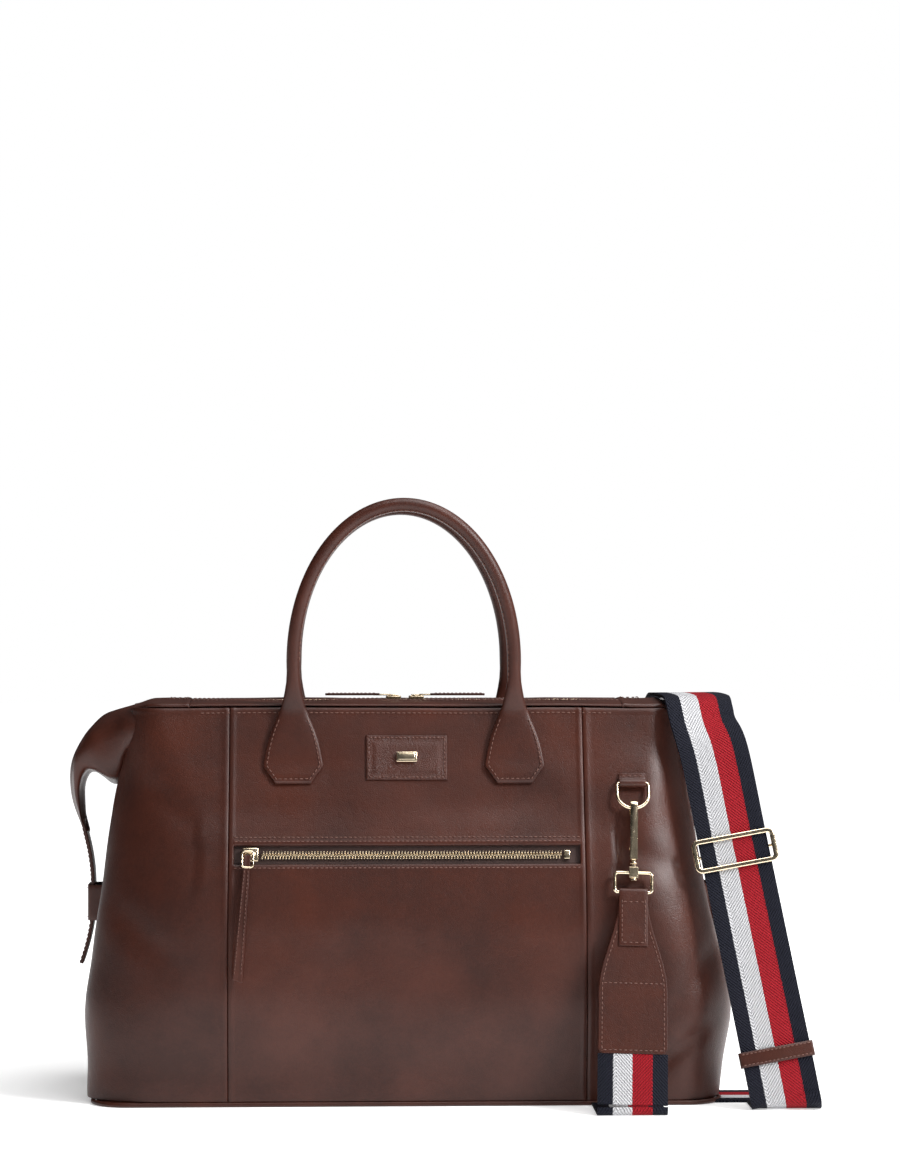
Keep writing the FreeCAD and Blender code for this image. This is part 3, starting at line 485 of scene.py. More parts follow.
def resample(spots, shares):
    """Points at shares of a line's length."""
    runs = [0.0]
    for first, second in zip(spots, spots[1:]):
        runs.append(runs[-1] + math.dist(first, second))
    found = []
    index = 0
    for share in shares:
        target = share * runs[-1]
        while index < len(runs) - 2 and runs[index + 1] < target:
            index += 1
        span = runs[index + 1] - runs[index]
        part = (target - runs[index]) / span if span else 0.0
        found.append([lerp(a, b, part) for a, b in zip(spots[index], spots[index + 1])])
    return found


def stations(length, step=0.0045, extra=()):
    """Distances along a panel's edge, closer together near its two ends."""
    fine = [0, 0.0004, 0.0009, 0.0015, 0.0024, 0.0036, 0.0055]
    marks = set(fine) | {length - mark for mark in fine} | set(extra)
    count = max(int((length - 0.012) / step), 1)
    marks |= {0.006 + (length - 0.012) * index / count for index in range(count + 1)}
    ordered = sorted(marks)
    kept = [ordered[0]]
    for mark in ordered[1:]:
        if mark - kept[-1] > 0.00025:
            kept.append(mark)
    return kept


def furrow_depth(x, level):
    """How deep the furrows are at a place on the front."""
    total = 0.0
    for (x0, z0), (x1, z1), depth, width in FURROWS:
        run_x, run_z = x1 - x0, z1 - z0
        share = ((x - x0) * run_x + (level - z0) * run_z) / (run_x ** 2 + run_z ** 2)
        share = min(max(share, 0.0), 1.0)
        off = math.hypot(x - x0 - share * run_x, level - z0 - share * run_z)
        total += depth * math.exp(-(off / width) ** 2) * (1 - (2 * share - 1) ** 4 * 0.6)
    return total


def sag(spot):
    """How far the leather sinks inwards at a place on the form: nothing where it is held."""
    x, y, level = spot
    slow = noise.noise(Vector(spot) * 10.0 + SAG_PLACE) + 0.8
    fast = noise.noise(Vector(spot) * 26.0 + SAG_PLACE) + 0.8
    depth = 0.0017 * slow + 0.0006 * fast
    depth += furrow_depth(x if y < 0 else -x, level)
    hold = smooth((CROWN - level) / 0.045) * smooth((level - FOOT) / 0.030)
    if y < 0 and abs(x) < 0.16:
        hold *= smooth((abs(level - POCKET_LEVEL) - 0.008) / 0.030)
    off_ring = math.hypot(x - RING_SPOT[0], level - RING_SPOT[1])
    hold *= smooth((off_ring - 0.014) / 0.030)
    return max(depth, 0.0) * hold


def crown_dip(x):
    """The top seam dips a little between its held points."""
    return 0.0016 * (0.5 + 0.5 * noise.noise(Vector((x * 14.0, 2.3, 5.1))))


def edge_lift(distance):
    """Height of a turned seam edge: rolled in at the seam, with a low ridge beside it."""
    roll = 0.0
    if distance < SEAM_ROLL:
        roll = -0.0011 * (1 - math.sqrt(max(1 - (1 - distance / SEAM_ROLL) ** 2, 0.0)))
    return roll + 0.0005 * math.exp(-((distance - 0.0028) / 0.0018) ** 2)


def out_of_face(level, side):
    """Direction out of the front or rear face at a level."""
    fall = (section(level + 0.002)[1] - section(level - 0.002)[1]) / 0.004
    return Vector((0, side, -fall)).normalized()


def face_spot(x, level, lift=0.0, side=FRONT):
    """A place on the front or rear leather, lift metres out from it."""
    base = Vector((x, side * section(level)[1], level))
    return base + out_of_face(level, side) * (lift - sag(base))


def grid_normals(rows):
    """Outward directions of a grid of points on the form."""
    count, width = len(rows), len(rows[0])
    found = []
    for i in range(count):
        line = []
        for j in range(width):
            across = rows[i][min(j + 1, width - 1)] - rows[i][max(j - 1, 0)]
            along = rows[min(i + 1, count - 1)][j] - rows[max(i - 1, 0)][j]
            direction = across.cross(along).normalized()
            spot = rows[i][j]
            if direction.dot(Vector((spot.x * 0.3, spot.y, 0))) < 0:
                direction = -direction
            line.append(direction)
        found.append(line)
    return found


def face_away(thing, centre):
    """Turn every face of an open sheet the same way: away from a point."""
    work = bmesh.new()
    work.from_mesh(thing.data)
    total = sum((face.calc_center_median() - centre).dot(face.normal) * face.calc_area()
                for face in work.faces)
    if total < 0:
        bmesh.ops.reverse_faces(work, faces=work.faces)
    work.to_mesh(thing.data)
    work.free()


def sheet_of(name, rows, material, thick, skip=None, centre=Vector((0, 0, 0.15)), offset=-1.0):
    """A leather or cloth sheet with real thickness from rows of points."""
    width = len(rows[0])
    verts = [spot for row in rows for spot in row]
    faces = []
    for i in range(len(rows) - 1):
        for j in range(width - 1):
            if skip and skip(i, j):
                continue
            a = i * width + j
            faces.append((a, a + 1, a + width + 1, a + width))
    thing = new_object(name, verts, faces, material)
    work = bmesh.new()
    work.from_mesh(thing.data)
    loose = [vert for vert in work.verts if not vert.link_faces]
    bmesh.ops.delete(work, geom=loose, context="VERTS")
    work.to_mesh(thing.data)
    work.free()
    face_away(thing, centre)
    modify(thing, "SOLIDIFY", thickness=thick, offset=offset)
    shade_smooth(thing.data)
    return thing


def lay_panel(rows, across, levels):
    """Push a panel's points out or in: sag, and the turned edges on its two sides and its top."""
    normals = grid_normals(rows)
    laid = []
    for i, row in enumerate(rows):
        line = []
        for j, spot in enumerate(row):
            near = min(across[i][j], across[i][-1] - across[i][j])
            lift = edge_lift(near) - sag(spot) + edge_lift((CROWN - levels[i]) * 1.06)
            place = spot + normals[i][j] * lift
            place.z -= crown_dip(spot.x) * smooth(1 - (CROWN - levels[i]) / 0.03)
            line.append(place)
        laid.append(line)
    return laid


def running(spots):
    """Distance along a line at each of its points."""
    total = [0.0]
    for first, second in zip(spots, spots[1:]):
        total.append(total[-1] + math.dist(first, second))
    return total


def side_panel(end, side):
    """A panel from the vertical seam round the corner to the gusset seam."""
    levels = [FOOT + mark for mark in stations(CROWN - FOOT)]
    belly = cut_at_gusset(quarter(0.10, end, side))[0]
    length = running(belly)[-1]
    shares = [mark / length for mark in stations(length)]
    rows = []
    across = []
    for level in levels:
        spots = resample(cut_at_gusset(quarter(level, end, side))[0], shares)
        rows.append([Vector((end * x, side * depth, level)) for x, depth in spots])
        across.append(running(spots))
    laid = lay_panel(rows, across, levels)
    name = "%s_%s" % ("front" if side == FRONT else "rear", "left" if end == LEFT else "right")
    thing = sheet_of(name + "_leather", laid, BROWN, LEATHER)
    return place_piece(thing, "root", "brown_leather", name + "_panel")


def gusset_panel(end):
    """The end panel between the two gusset seams."""
    levels = [FOOT + mark for mark in stations(CROWN - FOOT)]
    width = 2 * GUSSET
    shares = [mark / width for mark in stations(width)]
    rows = []
    across = []
    for level in levels:
        front = cut_at_gusset(quarter(level, end, FRONT))[1]
        rear = cut_at_gusset(quarter(level, end, REAR))[1]
        line = [(x, -depth) for x, depth in front] + [(x, depth) for x, depth in reversed(rear[:-1])]
        spots = resample(line, shares)
        rows.append([Vector((end * x, y, level)) for x, y in spots])
        across.append(running(spots))
    laid = lay_panel(rows, across, levels)
    name = "left" if end == LEFT else "right"
    thing = sheet_of(name + "_gusset_leather", laid, BROWN, LEATHER)
    return place_piece(thing, "root", "brown_leather", name + "_gusset")


def centre_panel(side):
    """The panel between the two vertical seams; the front one has the pocket's window."""
    half_slot = POCKET_SLOT / 2 * math.cos(SLOPE)
    window = POCKET_HALF
    low, high = POCKET_LEVEL - half_slot - FOOT, POCKET_LEVEL + half_slot - FOOT
    edges = [0.0, 0.0005, 0.0010, 0.0017, 0.0027, 0.0040]
    marks = []
    columns = []
    if side == FRONT:
        marks = [low - step for step in edges] + [high + step for step in edges]
        columns = [SEAM - window, SEAM + window, SEAM - window - 0.0012, SEAM + window + 0.0012]
    levels = [FOOT + mark for mark in stations(CROWN - FOOT, extra=marks)]
    if side == FRONT:
        levels = [level for level in levels if not FOOT + low + 0.0002 < level < FOOT + high - 0.0002]
    across_marks = stations(2 * SEAM, extra=columns)
    rows = []
    for level in levels:
        depth = section(level)[1]
        rows.append([Vector((mark - SEAM, side * depth, level)) for mark in across_marks])
    laid = lay_panel(rows, [across_marks] * len(rows), levels)

    def open_here(i, j):
        between = levels[i] < POCKET_LEVEL < levels[i + 1]
        inside = abs((across_marks[j] + across_marks[j + 1]) / 2 - SEAM) < window
        return side == FRONT and between and inside

    if side == FRONT:
        for i, level in enumerate(levels):
            gap = abs(level - POCKET_LEVEL) - half_slot
            for j, mark in enumerate(across_marks):
                if abs(mark - SEAM) < window + 0.0002 and gap < 0.006:
                    laid[i][j] += out_of_face(level, side) * edge_lift(max(gap, 0.0))
    name = "front" if side == FRONT else "rear"
    thing = sheet_of(name + "_centre_leather", laid, BROWN, LEATHER, skip=open_here)
    return place_piece(thing, "root", "brown_leather", name + "_centre_panel")


# ---------------------------------------------------------------- stitching and small parts

def stitch_mesh(name, paths, body, pitch=0.0036, length=0.0025, radius=0.00044):
    """A row of thread stitches along each path."""
    verts = []
    faces = []
    for path in paths:
        total = running(path)
        count = int(total[-1] / pitch)
        if count < 1:
            continue
        shares = []
        for index in range(count):
            start = (index + 0.5) * total[-1] / count - length / 2
            shares += [start / total[-1], (start + length) / total[-1]]
        ends = [Vector(spot) for spot in resample([tuple(spot) for spot in path], shares)]
        for start, end in zip(ends[::2], ends[1::2]):
            add_stitch(verts, faces, start, end, radius)
    thing = new_object(name, verts, faces, THREAD)
    return place_piece(thing, body, "brown_leather")


def add_stitch(verts, faces, start, end, radius):
    """One stitch: a thin five-sided spindle, dipping into the leather at its ends."""
    along = (end - start).normalized()
    side = along.orthogonal().normalized()
    other = along.cross(side)
    first = len(verts)
    for share, size in ((0.0, 0.45), (0.25, 1.0), (0.75, 1.0), (1.0, 0.45)):
        centre = start.lerp(end, share)
        for corner in range(5):
            turn = 2 * math.pi * corner / 5
            verts.append(centre + (side * math.cos(turn) + other * math.sin(turn)) * radius * size)
    for ring in range(3):
        for corner in range(5):
            a = first + ring * 5 + corner
            b = first + ring * 5 + (corner + 1) % 5
            faces.append((a, b, b + 5, a + 5))
    faces.append(tuple(first + corner for corner in reversed(range(5))))
    faces.append(tuple(first + 15 + corner for corner in range(5)))


def catmull(points, steps):
    """A smooth line through points, each with any number of values."""
    found = []
    for index in range(len(points) - 1):
        p0 = points[max(index - 1, 0)]
        p1, p2 = points[index], points[index + 1]
        p3 = points[min(index + 2, len(points) - 1)]
        for step in range(steps):
            t = step / steps
            found.append([0.5 * (2 * b + (c - a) * t + (2 * a - 5 * b + 4 * c - d) * t * t
                                 + (3 * b - a - 3 * c + d) * t ** 3)
                          for a, b, c, d in zip(p0, p1, p2, p3)])
    found.append(list(points[-1]))
    return found


def strip(name, route, width, thick, material, steps=6, columns=9, crown=0.0):
    """A flat strap along a route of (point, direction of its width); its UV map is in metres.

    The width is one number, or a pair for a strap that widens along its length."""
    first_width, last_width = width if isinstance(width, tuple) else (width, width)
    values = catmull([tuple(spot) + tuple(across) for spot, across in route], steps)
    spots = [Vector(value[:3]) for value in values]
    runs = running(spots)
    rows = []
    for index, value in enumerate(values):
        along = (spots[min(index + 1, len(spots) - 1)] - spots[max(index - 1, 0)]).normalized()
        across = Vector(value[3:])
        across = (across - along * across.dot(along)).normalized()
        out = across.cross(along)
        wide = lerp(first_width, last_width, runs[index] / runs[-1])
        row = []
        for column in range(columns):
            share = column / (columns - 1) * 2 - 1
            lift = crown * (1 - share * share)
            row.append(spots[index] + across * share * wide / 2 + out * lift)
        rows.append(row)
    verts = [spot for row in rows for spot in row]
    thing = new_object(name, verts, grid_faces(len(rows), columns), material)
    layer = thing.data.uv_layers.new(name="strip")
    for loop in thing.data.loops:
        row, column = divmod(loop.vertex_index, columns)
        layer.data[loop.index].uv = (column / (columns - 1) * last_width, runs[row])
    modify(thing, "SOLIDIFY", thickness=thick, offset=0.0)
    modify(thing, "BEVEL", width=0.0004, segments=2, limit_method="ANGLE", angle_limit=math.radians(50))
    shade_smooth(thing.data)
    return thing


def plate(name, outline, thick, place, material):
    """A flat piece with an outline in its own XZ plane, its edges softly rounded."""
    half = thick / 2
    count = len(outline)
    verts = [place @ Vector((x, -half, z)) for x, z in outline]
    verts += [place @ Vector((x, half, z)) for x, z in outline]
    faces = [tuple(range(count)), tuple(reversed(range(count, 2 * count)))]
    for index in range(count):
        after = (index + 1) % count
        faces.append((index, index + count, after + count, after))
    thing = recalc(new_object(name, verts, faces, material))
    modify(thing, "BEVEL", width=0.0005, segments=3, limit_method="ANGLE", angle_limit=math.radians(40))
    shade_smooth(thing.data)
    modify(thing, "WEIGHTED_NORMAL", keep_sharp=False)
    return thing


def rounded_box(low, high, bevel, place):
    """Vertices and faces of a bevelled block, as a bmesh."""
    work = bmesh.new()
    bmesh.ops.create_cube(work, size=1.0)
    low, high = Vector(low), Vector(high)
    for vert in work.verts:
        vert.co = Vector([lerp(a, b, c + 0.5) for a, b, c in zip(low, high, vert.co)])
    bmesh.ops.bevel(work, geom=list(work.edges), offset=bevel, segments=3, profile=0.5, affect="EDGES")
    for vert in work.verts:
        vert.co = place @ vert.co
    return work


def blocks(name, boxes, material, place=Matrix.Identity(4)):
    """Several bevelled blocks in one mesh; each box is (low, high, bevel)."""
    mesh = bpy.data.meshes.new(name)
    whole = bmesh.new()
    for low, high, bevel in boxes:
        part = rounded_box(low, high, bevel, place)
        bit = bpy.data.meshes.new("bit")
        part.to_mesh(bit)
        part.free()
        whole.from_mesh(bit)
        bpy.data.meshes.remove(bit)
    whole.to_mesh(mesh)
    whole.free()
    mesh.materials.append(material)
    shade_smooth(mesh)
    thing = bpy.data.objects.new(name, mesh)
    bpy.context.collection.objects.link(thing)
    return thing


def loft(name, sections, material, count=28, caps=True):
    """A closed skin through sections: (centre, first axis, second axis, half, half, squareness)."""
    verts = []
    for centre, first, second, wide, thick, square in sections:
        for index in range(count):
            turn = 2 * math.pi * index / count
            c, s = math.cos(turn), math.sin(turn)
            across = math.copysign(abs(c) ** (2 / square), c) * wide
            up = math.copysign(abs(s) ** (2 / square), s) * thick
            verts.append(centre + first * across + second * up)
    faces = grid_faces(len(sections), count, wrap=True)
    if caps:
        faces.append(tuple(reversed(range(count))))
        faces.append(tuple(range(len(verts) - count, len(verts))))
    return recalc(new_object(name, verts, faces, material))


# ---------------------------------------------------------------- top: flaps, zip, corners

# a flap's outer and inner edge from the middle line, the level under its outer edge, and the top's rise
FLAP_EDGE, FLAP_INNER, FLAP_BASE, FLAP_RISE = 0.0505, 0.0153, 0.3034, 0.0030
ZIP_HALF = 0.168
ZIP_LEVEL = 0.3060


def arch(reach):
    """Height of the domed top's outer face at a distance from its middle line."""
    return FLAP_BASE + 0.0018 + FLAP_RISE * (1 - reach / FLAP_EDGE)


def flap(side):
    """The leather strip along one side of the zip."""
    marks = stations(FLAP_EDGE - FLAP_INNER, step=0.004)
    length = 2 * ZIP_HALF
    rows = []
    for along in stations(length):
        row = []
        for mark in marks:
            x = along - ZIP_HALF
            reach = FLAP_EDGE - mark
            held = smooth(mark / 0.012)
            level = arch(reach) + edge_lift(mark) + edge_lift(marks[-1] - mark)
            level -= crown_dip(x) * (1 - held)
            level += 0.0007 * held * noise.noise(Vector((x * 30, side * reach * 30, 1.0)))
            row.append(Vector((x, side * reach, level)))
        rows.append(row)
    name = "front" if side == FRONT else "rear"
    thing = sheet_of(name + "_flap_leather", rows, BROWN, 0.0017)
    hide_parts(name + "_zip_flap")
    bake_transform(thing)
    rows = [[Vector((x * 0.004, side * (FLAP_INNER + inset), arch(FLAP_INNER + inset) + 0.0001))
             for x in range(-42, 43)] for inset in (0.0024, 0.0062)]
    stitch_mesh(name + "_flap_stitches", rows, name + "_flap")


def zip_tape(side):
    """The woven tape between a flap and its teeth."""
    name = "front" if side == FRONT else "rear"
    columns = 7
    rows = []
    for step in range(85):
        x = ZIP_HALF * (step / 42 - 1)
        rows.append([Vector((x, side * lerp(0.0175, 0.0026, column / (columns - 1)),
                             ZIP_LEVEL + 0.00015 * math.sin(x * 900 + column)))
                     for column in range(columns)])
    thing = sheet_of(name + "_tape_cloth", rows, TAPE, 0.0006)
    place_piece(thing, name + "_flap", "zip_tape", name + "_zip_tape")


def tooth_row(name, count, pitch, place, side, deep, reach):
    """A row of cast teeth: each has a jaw on the tape and a narrower nose."""
    boxes = []
    for index in range(count):
        middle_x = (index - (count - 1) / 2) * pitch + side * pitch / 4
        jaw = ((middle_x - 0.00052, side * reach * 0.42, -deep), (middle_x + 0.00052, side * reach, deep))
        nose = ((middle_x - 0.00042, -side * 0.0006, -deep * 0.75),
                (middle_x + 0.00042, side * reach * 0.45, deep * 0.75))
        for low, high in (jaw, nose):
            near, far = sorted((low[1], high[1]))
            boxes.append(((low[0], near, low[2]), (high[0], far, high[2]), 0.00022))
    return blocks_fast(name, boxes, TEETH, place)


def blocks_fast(name, boxes, material, place):
    """Many small chamfered blocks in one mesh: eight-sided in plan, so that each edge catches light."""
    verts = []
    faces = []
    for low, high, cut in boxes:
        first = len(verts)
        for level, inset in ((low[2], cut), (low[2] + cut, 0), (high[2] - cut, 0), (high[2], cut)):
            x0, x1 = low[0] + inset, high[0] - inset
            y0, y1 = low[1] + inset, high[1] - inset
            ring = [(x0 + cut, y0), (x1 - cut, y0), (x1, y0 + cut), (x1, y1 - cut),
                    (x1 - cut, y1), (x0 + cut, y1), (x0, y1 - cut), (x0, y0 + cut)]
            verts += [place @ Vector((x, y, level)) for x, y in ring]
        for ring in range(3):
            for corner in range(8):
                a = first + ring * 8 + corner
                b = first + ring * 8 + (corner + 1) % 8
                faces.append((a, b, b + 8, a + 8))
        faces.append(tuple(first + corner for corner in reversed(range(8))))
        faces.append(tuple(first + 24 + corner for corner in range(8)))
    return new_object(name, verts, faces, material, smooth_shade=False)


def top_teeth(side):
    """One of the two rows of teeth of the top zip."""
    name = "front" if side == FRONT else "rear"
    place = Matrix.Translation((0, 0, ZIP_LEVEL))
    thing = tooth_row(name + "_teeth", 140, 0.0024, place, side, 0.0010, 0.0032)
    place_piece(thing, name + "_flap", "pale_gold", name + "_zip_teeth")


def top_slider(end):
    """One of the two sliders that meet at the middle, with its leather-tipped pull."""
    name = "left" if end == LEFT else "right"
    low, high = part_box(name + "_zip_slider")
    wall, rail, roof = 0.0011, 0.0008, 0.0012
    body = blocks(name + "_slider_body",
                  [((low.x, low.y, high.z - wall), tuple(high), 0.0005),
                   (tuple(low), (high.x, high.y, low.z + wall), 0.0005),
                   ((low.x, high.y - rail, low.z), tuple(high), 0.00035),
                   ((low.x + 0.002, low.y + 0.0028, high.z - 0.0002),
                    (high.x - 0.002, high.y - 0.0028, high.z + roof), 0.0005)], GOLD)
    place_piece(body, name + "_slider", "pale_gold", name + "_zip_slider")
    low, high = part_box(name + "_zip_pull")
    centre = (low.y + high.y) / 2
    near, far = (high.x, low.x) if end == LEFT else (low.x, high.x)
    root = near + end * 0.012
    arm = sorted((near, root + end * 0.002))
    bridge = sorted((near, near + end * 0.0016))
    inner, outer, top = 0.0009, 0.0022, low.z + 0.0012
    eye = blocks(name + "_pull_eye",
                 [((arm[0], centre - outer, low.z), (arm[1], centre - inner, top), 0.0004),
                  ((arm[0], centre + inner, low.z), (arm[1], centre + outer, top), 0.0004),
                  ((bridge[0], centre - outer, low.z), (bridge[1], centre + outer, top), 0.0004)], GOLD)
    place_piece(eye, name + "_pull", "pale_gold", name + "_zip_pull")
    route = [(Vector((lerp(root - end * 0.003, far, step / 8), centre, low.z + 0.0009)), Vector((0, 1, 0)))
             for step in range(9)]
    tab = strip(name + "_pull_leather", route, 0.007, 0.0016, BROWN, steps=2, columns=5, crown=0.00015)
    place_piece(tab, name + "_pull", "brown_leather")
    edge = [[Vector((lerp(root, far - end * 0.0015, step / 12), centre + off, low.z + 0.00185))
             for step in range(13)] for off in (-0.0024, 0.0024)]
    stitch_mesh(name + "_pull_stitches", edge, name + "_pull", pitch=0.003, length=0.002, radius=0.00028)


def crown_depth_at(x):
    """Half depth of the crown's outline at a distance along the bag."""
    length, depth, corner = section(CROWN)
    past = abs(x) - (length - corner)
    if past <= 0:
        return depth
    share = min(past / corner, 1.0)
    return depth - corner + corner * math.sqrt(max(1 - share * share, 0.0))


# the corner folded down from the top: outer edge (x, level), inner edge (x, level) and half width
EAR = ((0.1960, 0.3062, 0.1960, 0.2700, 0.0460), (0.2080, 0.3045, 0.2060, 0.2660, 0.0455),
       (0.2175, 0.3020, 0.2165, 0.2600, 0.0440), (0.2270, 0.2990, 0.2225, 0.2450, 0.0420),
       (0.2370, 0.2945, 0.2290, 0.2420, 0.0395), (0.2470, 0.2860, 0.2370, 0.2470, 0.0370),
       (0.2550, 0.2755, 0.2430, 0.2505, 0.0340), (0.2605, 0.2640, 0.2480, 0.2500, 0.0300),
       (0.2627, 0.2500, 0.2515, 0.2440, 0.0255), (0.2622, 0.2370, 0.2535, 0.2330, 0.0205),
       (0.2590, 0.2220, 0.2530, 0.2195, 0.0165), (0.2555, 0.2110, 0.2505, 0.2095, 0.0138),
       (0.2525, 0.2040, 0.2490, 0.2035, 0.0128))


def end_cover(end):
    """The fixed leather at one end of the zip, and the corner that folds down from it."""
    name = "left" if end == LEFT else "right"
    reach = CROWN_END - 0.0012
    rows = []
    for mark in stations(reach - ZIP_HALF, step=0.003):
        x = ZIP_HALF + mark
        wide = crown_depth_at(x) - 0.0012
        row = []
        for step in range(31):
            share = step / 15 - 1
            y = share * wide
            level = arch(min(abs(y), FLAP_EDGE)) + edge_lift(wide * (1 - abs(share)))
            level -= crown_dip(end * x) * share ** 6 + 0.0042 * smooth((x - 0.196) / 0.018)
            level += edge_lift(mark) + 0.0006 * noise.noise(Vector((end * x * 30, y * 30, 4.0)))
            row.append(Vector((end * x, y, level)))
        rows.append(row)
    cover = sheet_of(name + "_top_end", rows, BROWN, 0.0017)
    place_piece(cover, "root", "brown_leather")
    near, far, half = 0.1715, 0.1845, 0.013
    border = [[(x, lerp(-half, half, k / 13)) for k in range(14)] for x in (near, far)]
    border += [[(lerp(near, far, k / 10), y) for k in range(11)] for y in (-half, half)]
    box = [[Vector((end * x, y, arch(abs(y)) + 0.0005)) for x, y in line] for line in border]
    stitch_mesh(name + "_end_stitches", box, "root")

    line = catmull(EAR, 4)
    sections = []
    for outer_x, outer_z, inner_x, inner_z, wide in line:
        outer = Vector((end * outer_x, 0, outer_z))
        inner = Vector((end * inner_x, 0, inner_z))
        across = outer - inner
        swell = 1 + 0.04 * noise.noise(Vector((outer_x * 40, end, outer_z * 40)))
        sections.append(((outer + inner) / 2, across.normalized(), Vector((0, 1, 0)),
                         across.length / 2, wide * swell, 2.6))
    ear = loft(name + "_ear_leather", sections, BROWN, count=40)
    dent_ear(ear)
    place_piece(ear, "root", "brown_leather", name + "_ear")


def dent_ear(ear):
    """Soft folds where the corner of the top is drawn down by its strap."""
    for vert in ear.data.vertices:
        x, y, z = vert.co
        down = smooth((0.290 - z) / 0.05)
        fold = math.cos(y * 210.0) * 0.0013 * down
        pinch = noise.noise(Vector((x * 45, y * 45, z * 45)) + SAG_PLACE) * 0.0012
        direction = vert.normal
        if abs(x) > 0.212:
            vert.co = vert.co + direction * (fold + pinch) * smooth((abs(x) - 0.212) / 0.012)
    ear.data.update()


# the side strap's line from the folded corner down through its keeper: x and level
SIDE_STRAP = ((0.2528, 0.2140), (0.2523, 0.2070), (0.2500, 0.1970), (0.2480, 0.1880), (0.2462, 0.1760),
              (0.2454, 0.1640), (0.2453, 0.1490), (0.2461, 0.1340), (0.2494, 0.1170), (0.2545, 0.1000))
SIDE_WIDTH, SIDE_THICK = 0.025, 0.0026


def side_strap(end):
    """The narrow strap from a corner of the top down through its keeper."""
    name = "left" if end == LEFT else "right"
    route = [(Vector((end * x, 0, z)), Vector((0, end, 0))) for x, z in SIDE_STRAP]
    thing = strip(name + "_strap_leather", route, SIDE_WIDTH, SIDE_THICK, BROWN, columns=7, crown=0.0002)
    place_piece(thing, "root", "brown_leather", "side_straps")
    reach, lift = SIDE_WIDTH / 2 - 0.0023, 0.0015
    lines = [[Vector((end * (x + lift), off, z)) for x, z in catmull(SIDE_STRAP, 5)]
             for off in (-reach, reach)]
    stitch_mesh(name + "_strap_stitches", lines, "root")
    keeper(end, name)


def keeper(end, name):
    """The leather bridge that holds the side strap against the end."""
    low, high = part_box("keeper_loops")
    far = high.x - 0.0009
    half = high.y
    # half of the bridge, from its foot on the gusset up to its flat face
    leg = [(far - 0.0125, half + 0.0030), (far - 0.0095, half + 0.0002), (far - 0.0030, half - 0.0006),
           (far - 0.0006, half - 0.0022), (far, half - 0.0050)]
    spots = [(x, -y) for x, y in leg] + [(far, 0.0)] + leg[::-1]
    centre = (low.z + high.z) / 2
    route = [(Vector((end * x, y, centre)), Vector((0, 0, 1))) for x, y in spots]
    thing = strip(name + "_keeper_leather", route, high.z - low.z, 0.0018, BROWN, columns=7)
    place_piece(thing, "root", "brown_leather", "keeper_loops")
    inset, lift = 0.0026, 0.00105
    lines = [[Vector((end * (x + lift), y, level)) for x, y in catmull(spots[2:-2], 4)]
             for level in (low.z + inset, high.z - inset)]
    stitch_mesh(name + "_keeper_stitches", lines, "root")


# ---------------------------------------------------------------- handles

# the arch's middle, half span, the level it springs from and its rise; radius of the roll
HANDLE_SHIFT, HANDLE_SPAN, HANDLE_SPRING, HANDLE_RISE = -0.002, 0.0855, 0.338, 0.1215
ROLL = 0.0054
# below the hinge: distance down the face, half width, half thickness, squareness
TAB = ((0.062, 0.0137, 0.0010, 7.0), (0.060, 0.0148, 0.0016, 7.0), (0.054, 0.0188, 0.0017, 7.0),
       (0.0485, 0.0228, 0.0017, 7.0), (0.0465, 0.0229, 0.0017, 7.0), (0.043, 0.0222, 0.0017, 7.0),
       (0.036, 0.0210, 0.0020, 5.0), (0.028, 0.0192, 0.0024, 4.0), (0.020, 0.0166, 0.0029, 3.4),
       (0.012, 0.0134, 0.0034, 3.0), (0.006, 0.0112, 0.0038, 2.8))
# from the hinge up to the rolled part: level, half width, half thickness, squareness
NECK = ((0.303, 0.0094, 0.0041, 2.7), (0.309, 0.0079, 0.0044, 2.6), (0.315, 0.0067, 0.0047, 2.4),
        (0.322, 0.0056, 0.0050, 2.3), (0.330, 0.0052, 0.0052, 2.0))


def leg_sections(x, side):
    """A handle's leg, from the bottom of its tab to the start of the arch."""
    across = Vector((1, 0, 0))
    found = []
    for drop, wide, thick, square in TAB:
        level = CROWN - drop * math.cos(SLOPE)
        spot = face_spot(x, level, thick + 0.0003, side)
        found.append((spot, across, out_of_face(level, side), wide, thick, square))
    hinge = CROWN_DEPTH + 0.008
    for index, (level, wide, thick, square) in enumerate(NECK):
        depth = hinge - 0.0018 * (1 - smooth(index / 2))
        found.append((Vector((x, side * depth, level)), across, Vector((0, side, 0)), wide, thick, square))
    return found


def tab_height(wide, thick, square):
    """How far a tab's outer face stands off the bag along its line of stitches."""
    share = (wide - 0.0026) / wide
    return thick * (1 + (1 - share ** square) ** (1 / square)) + 0.0006


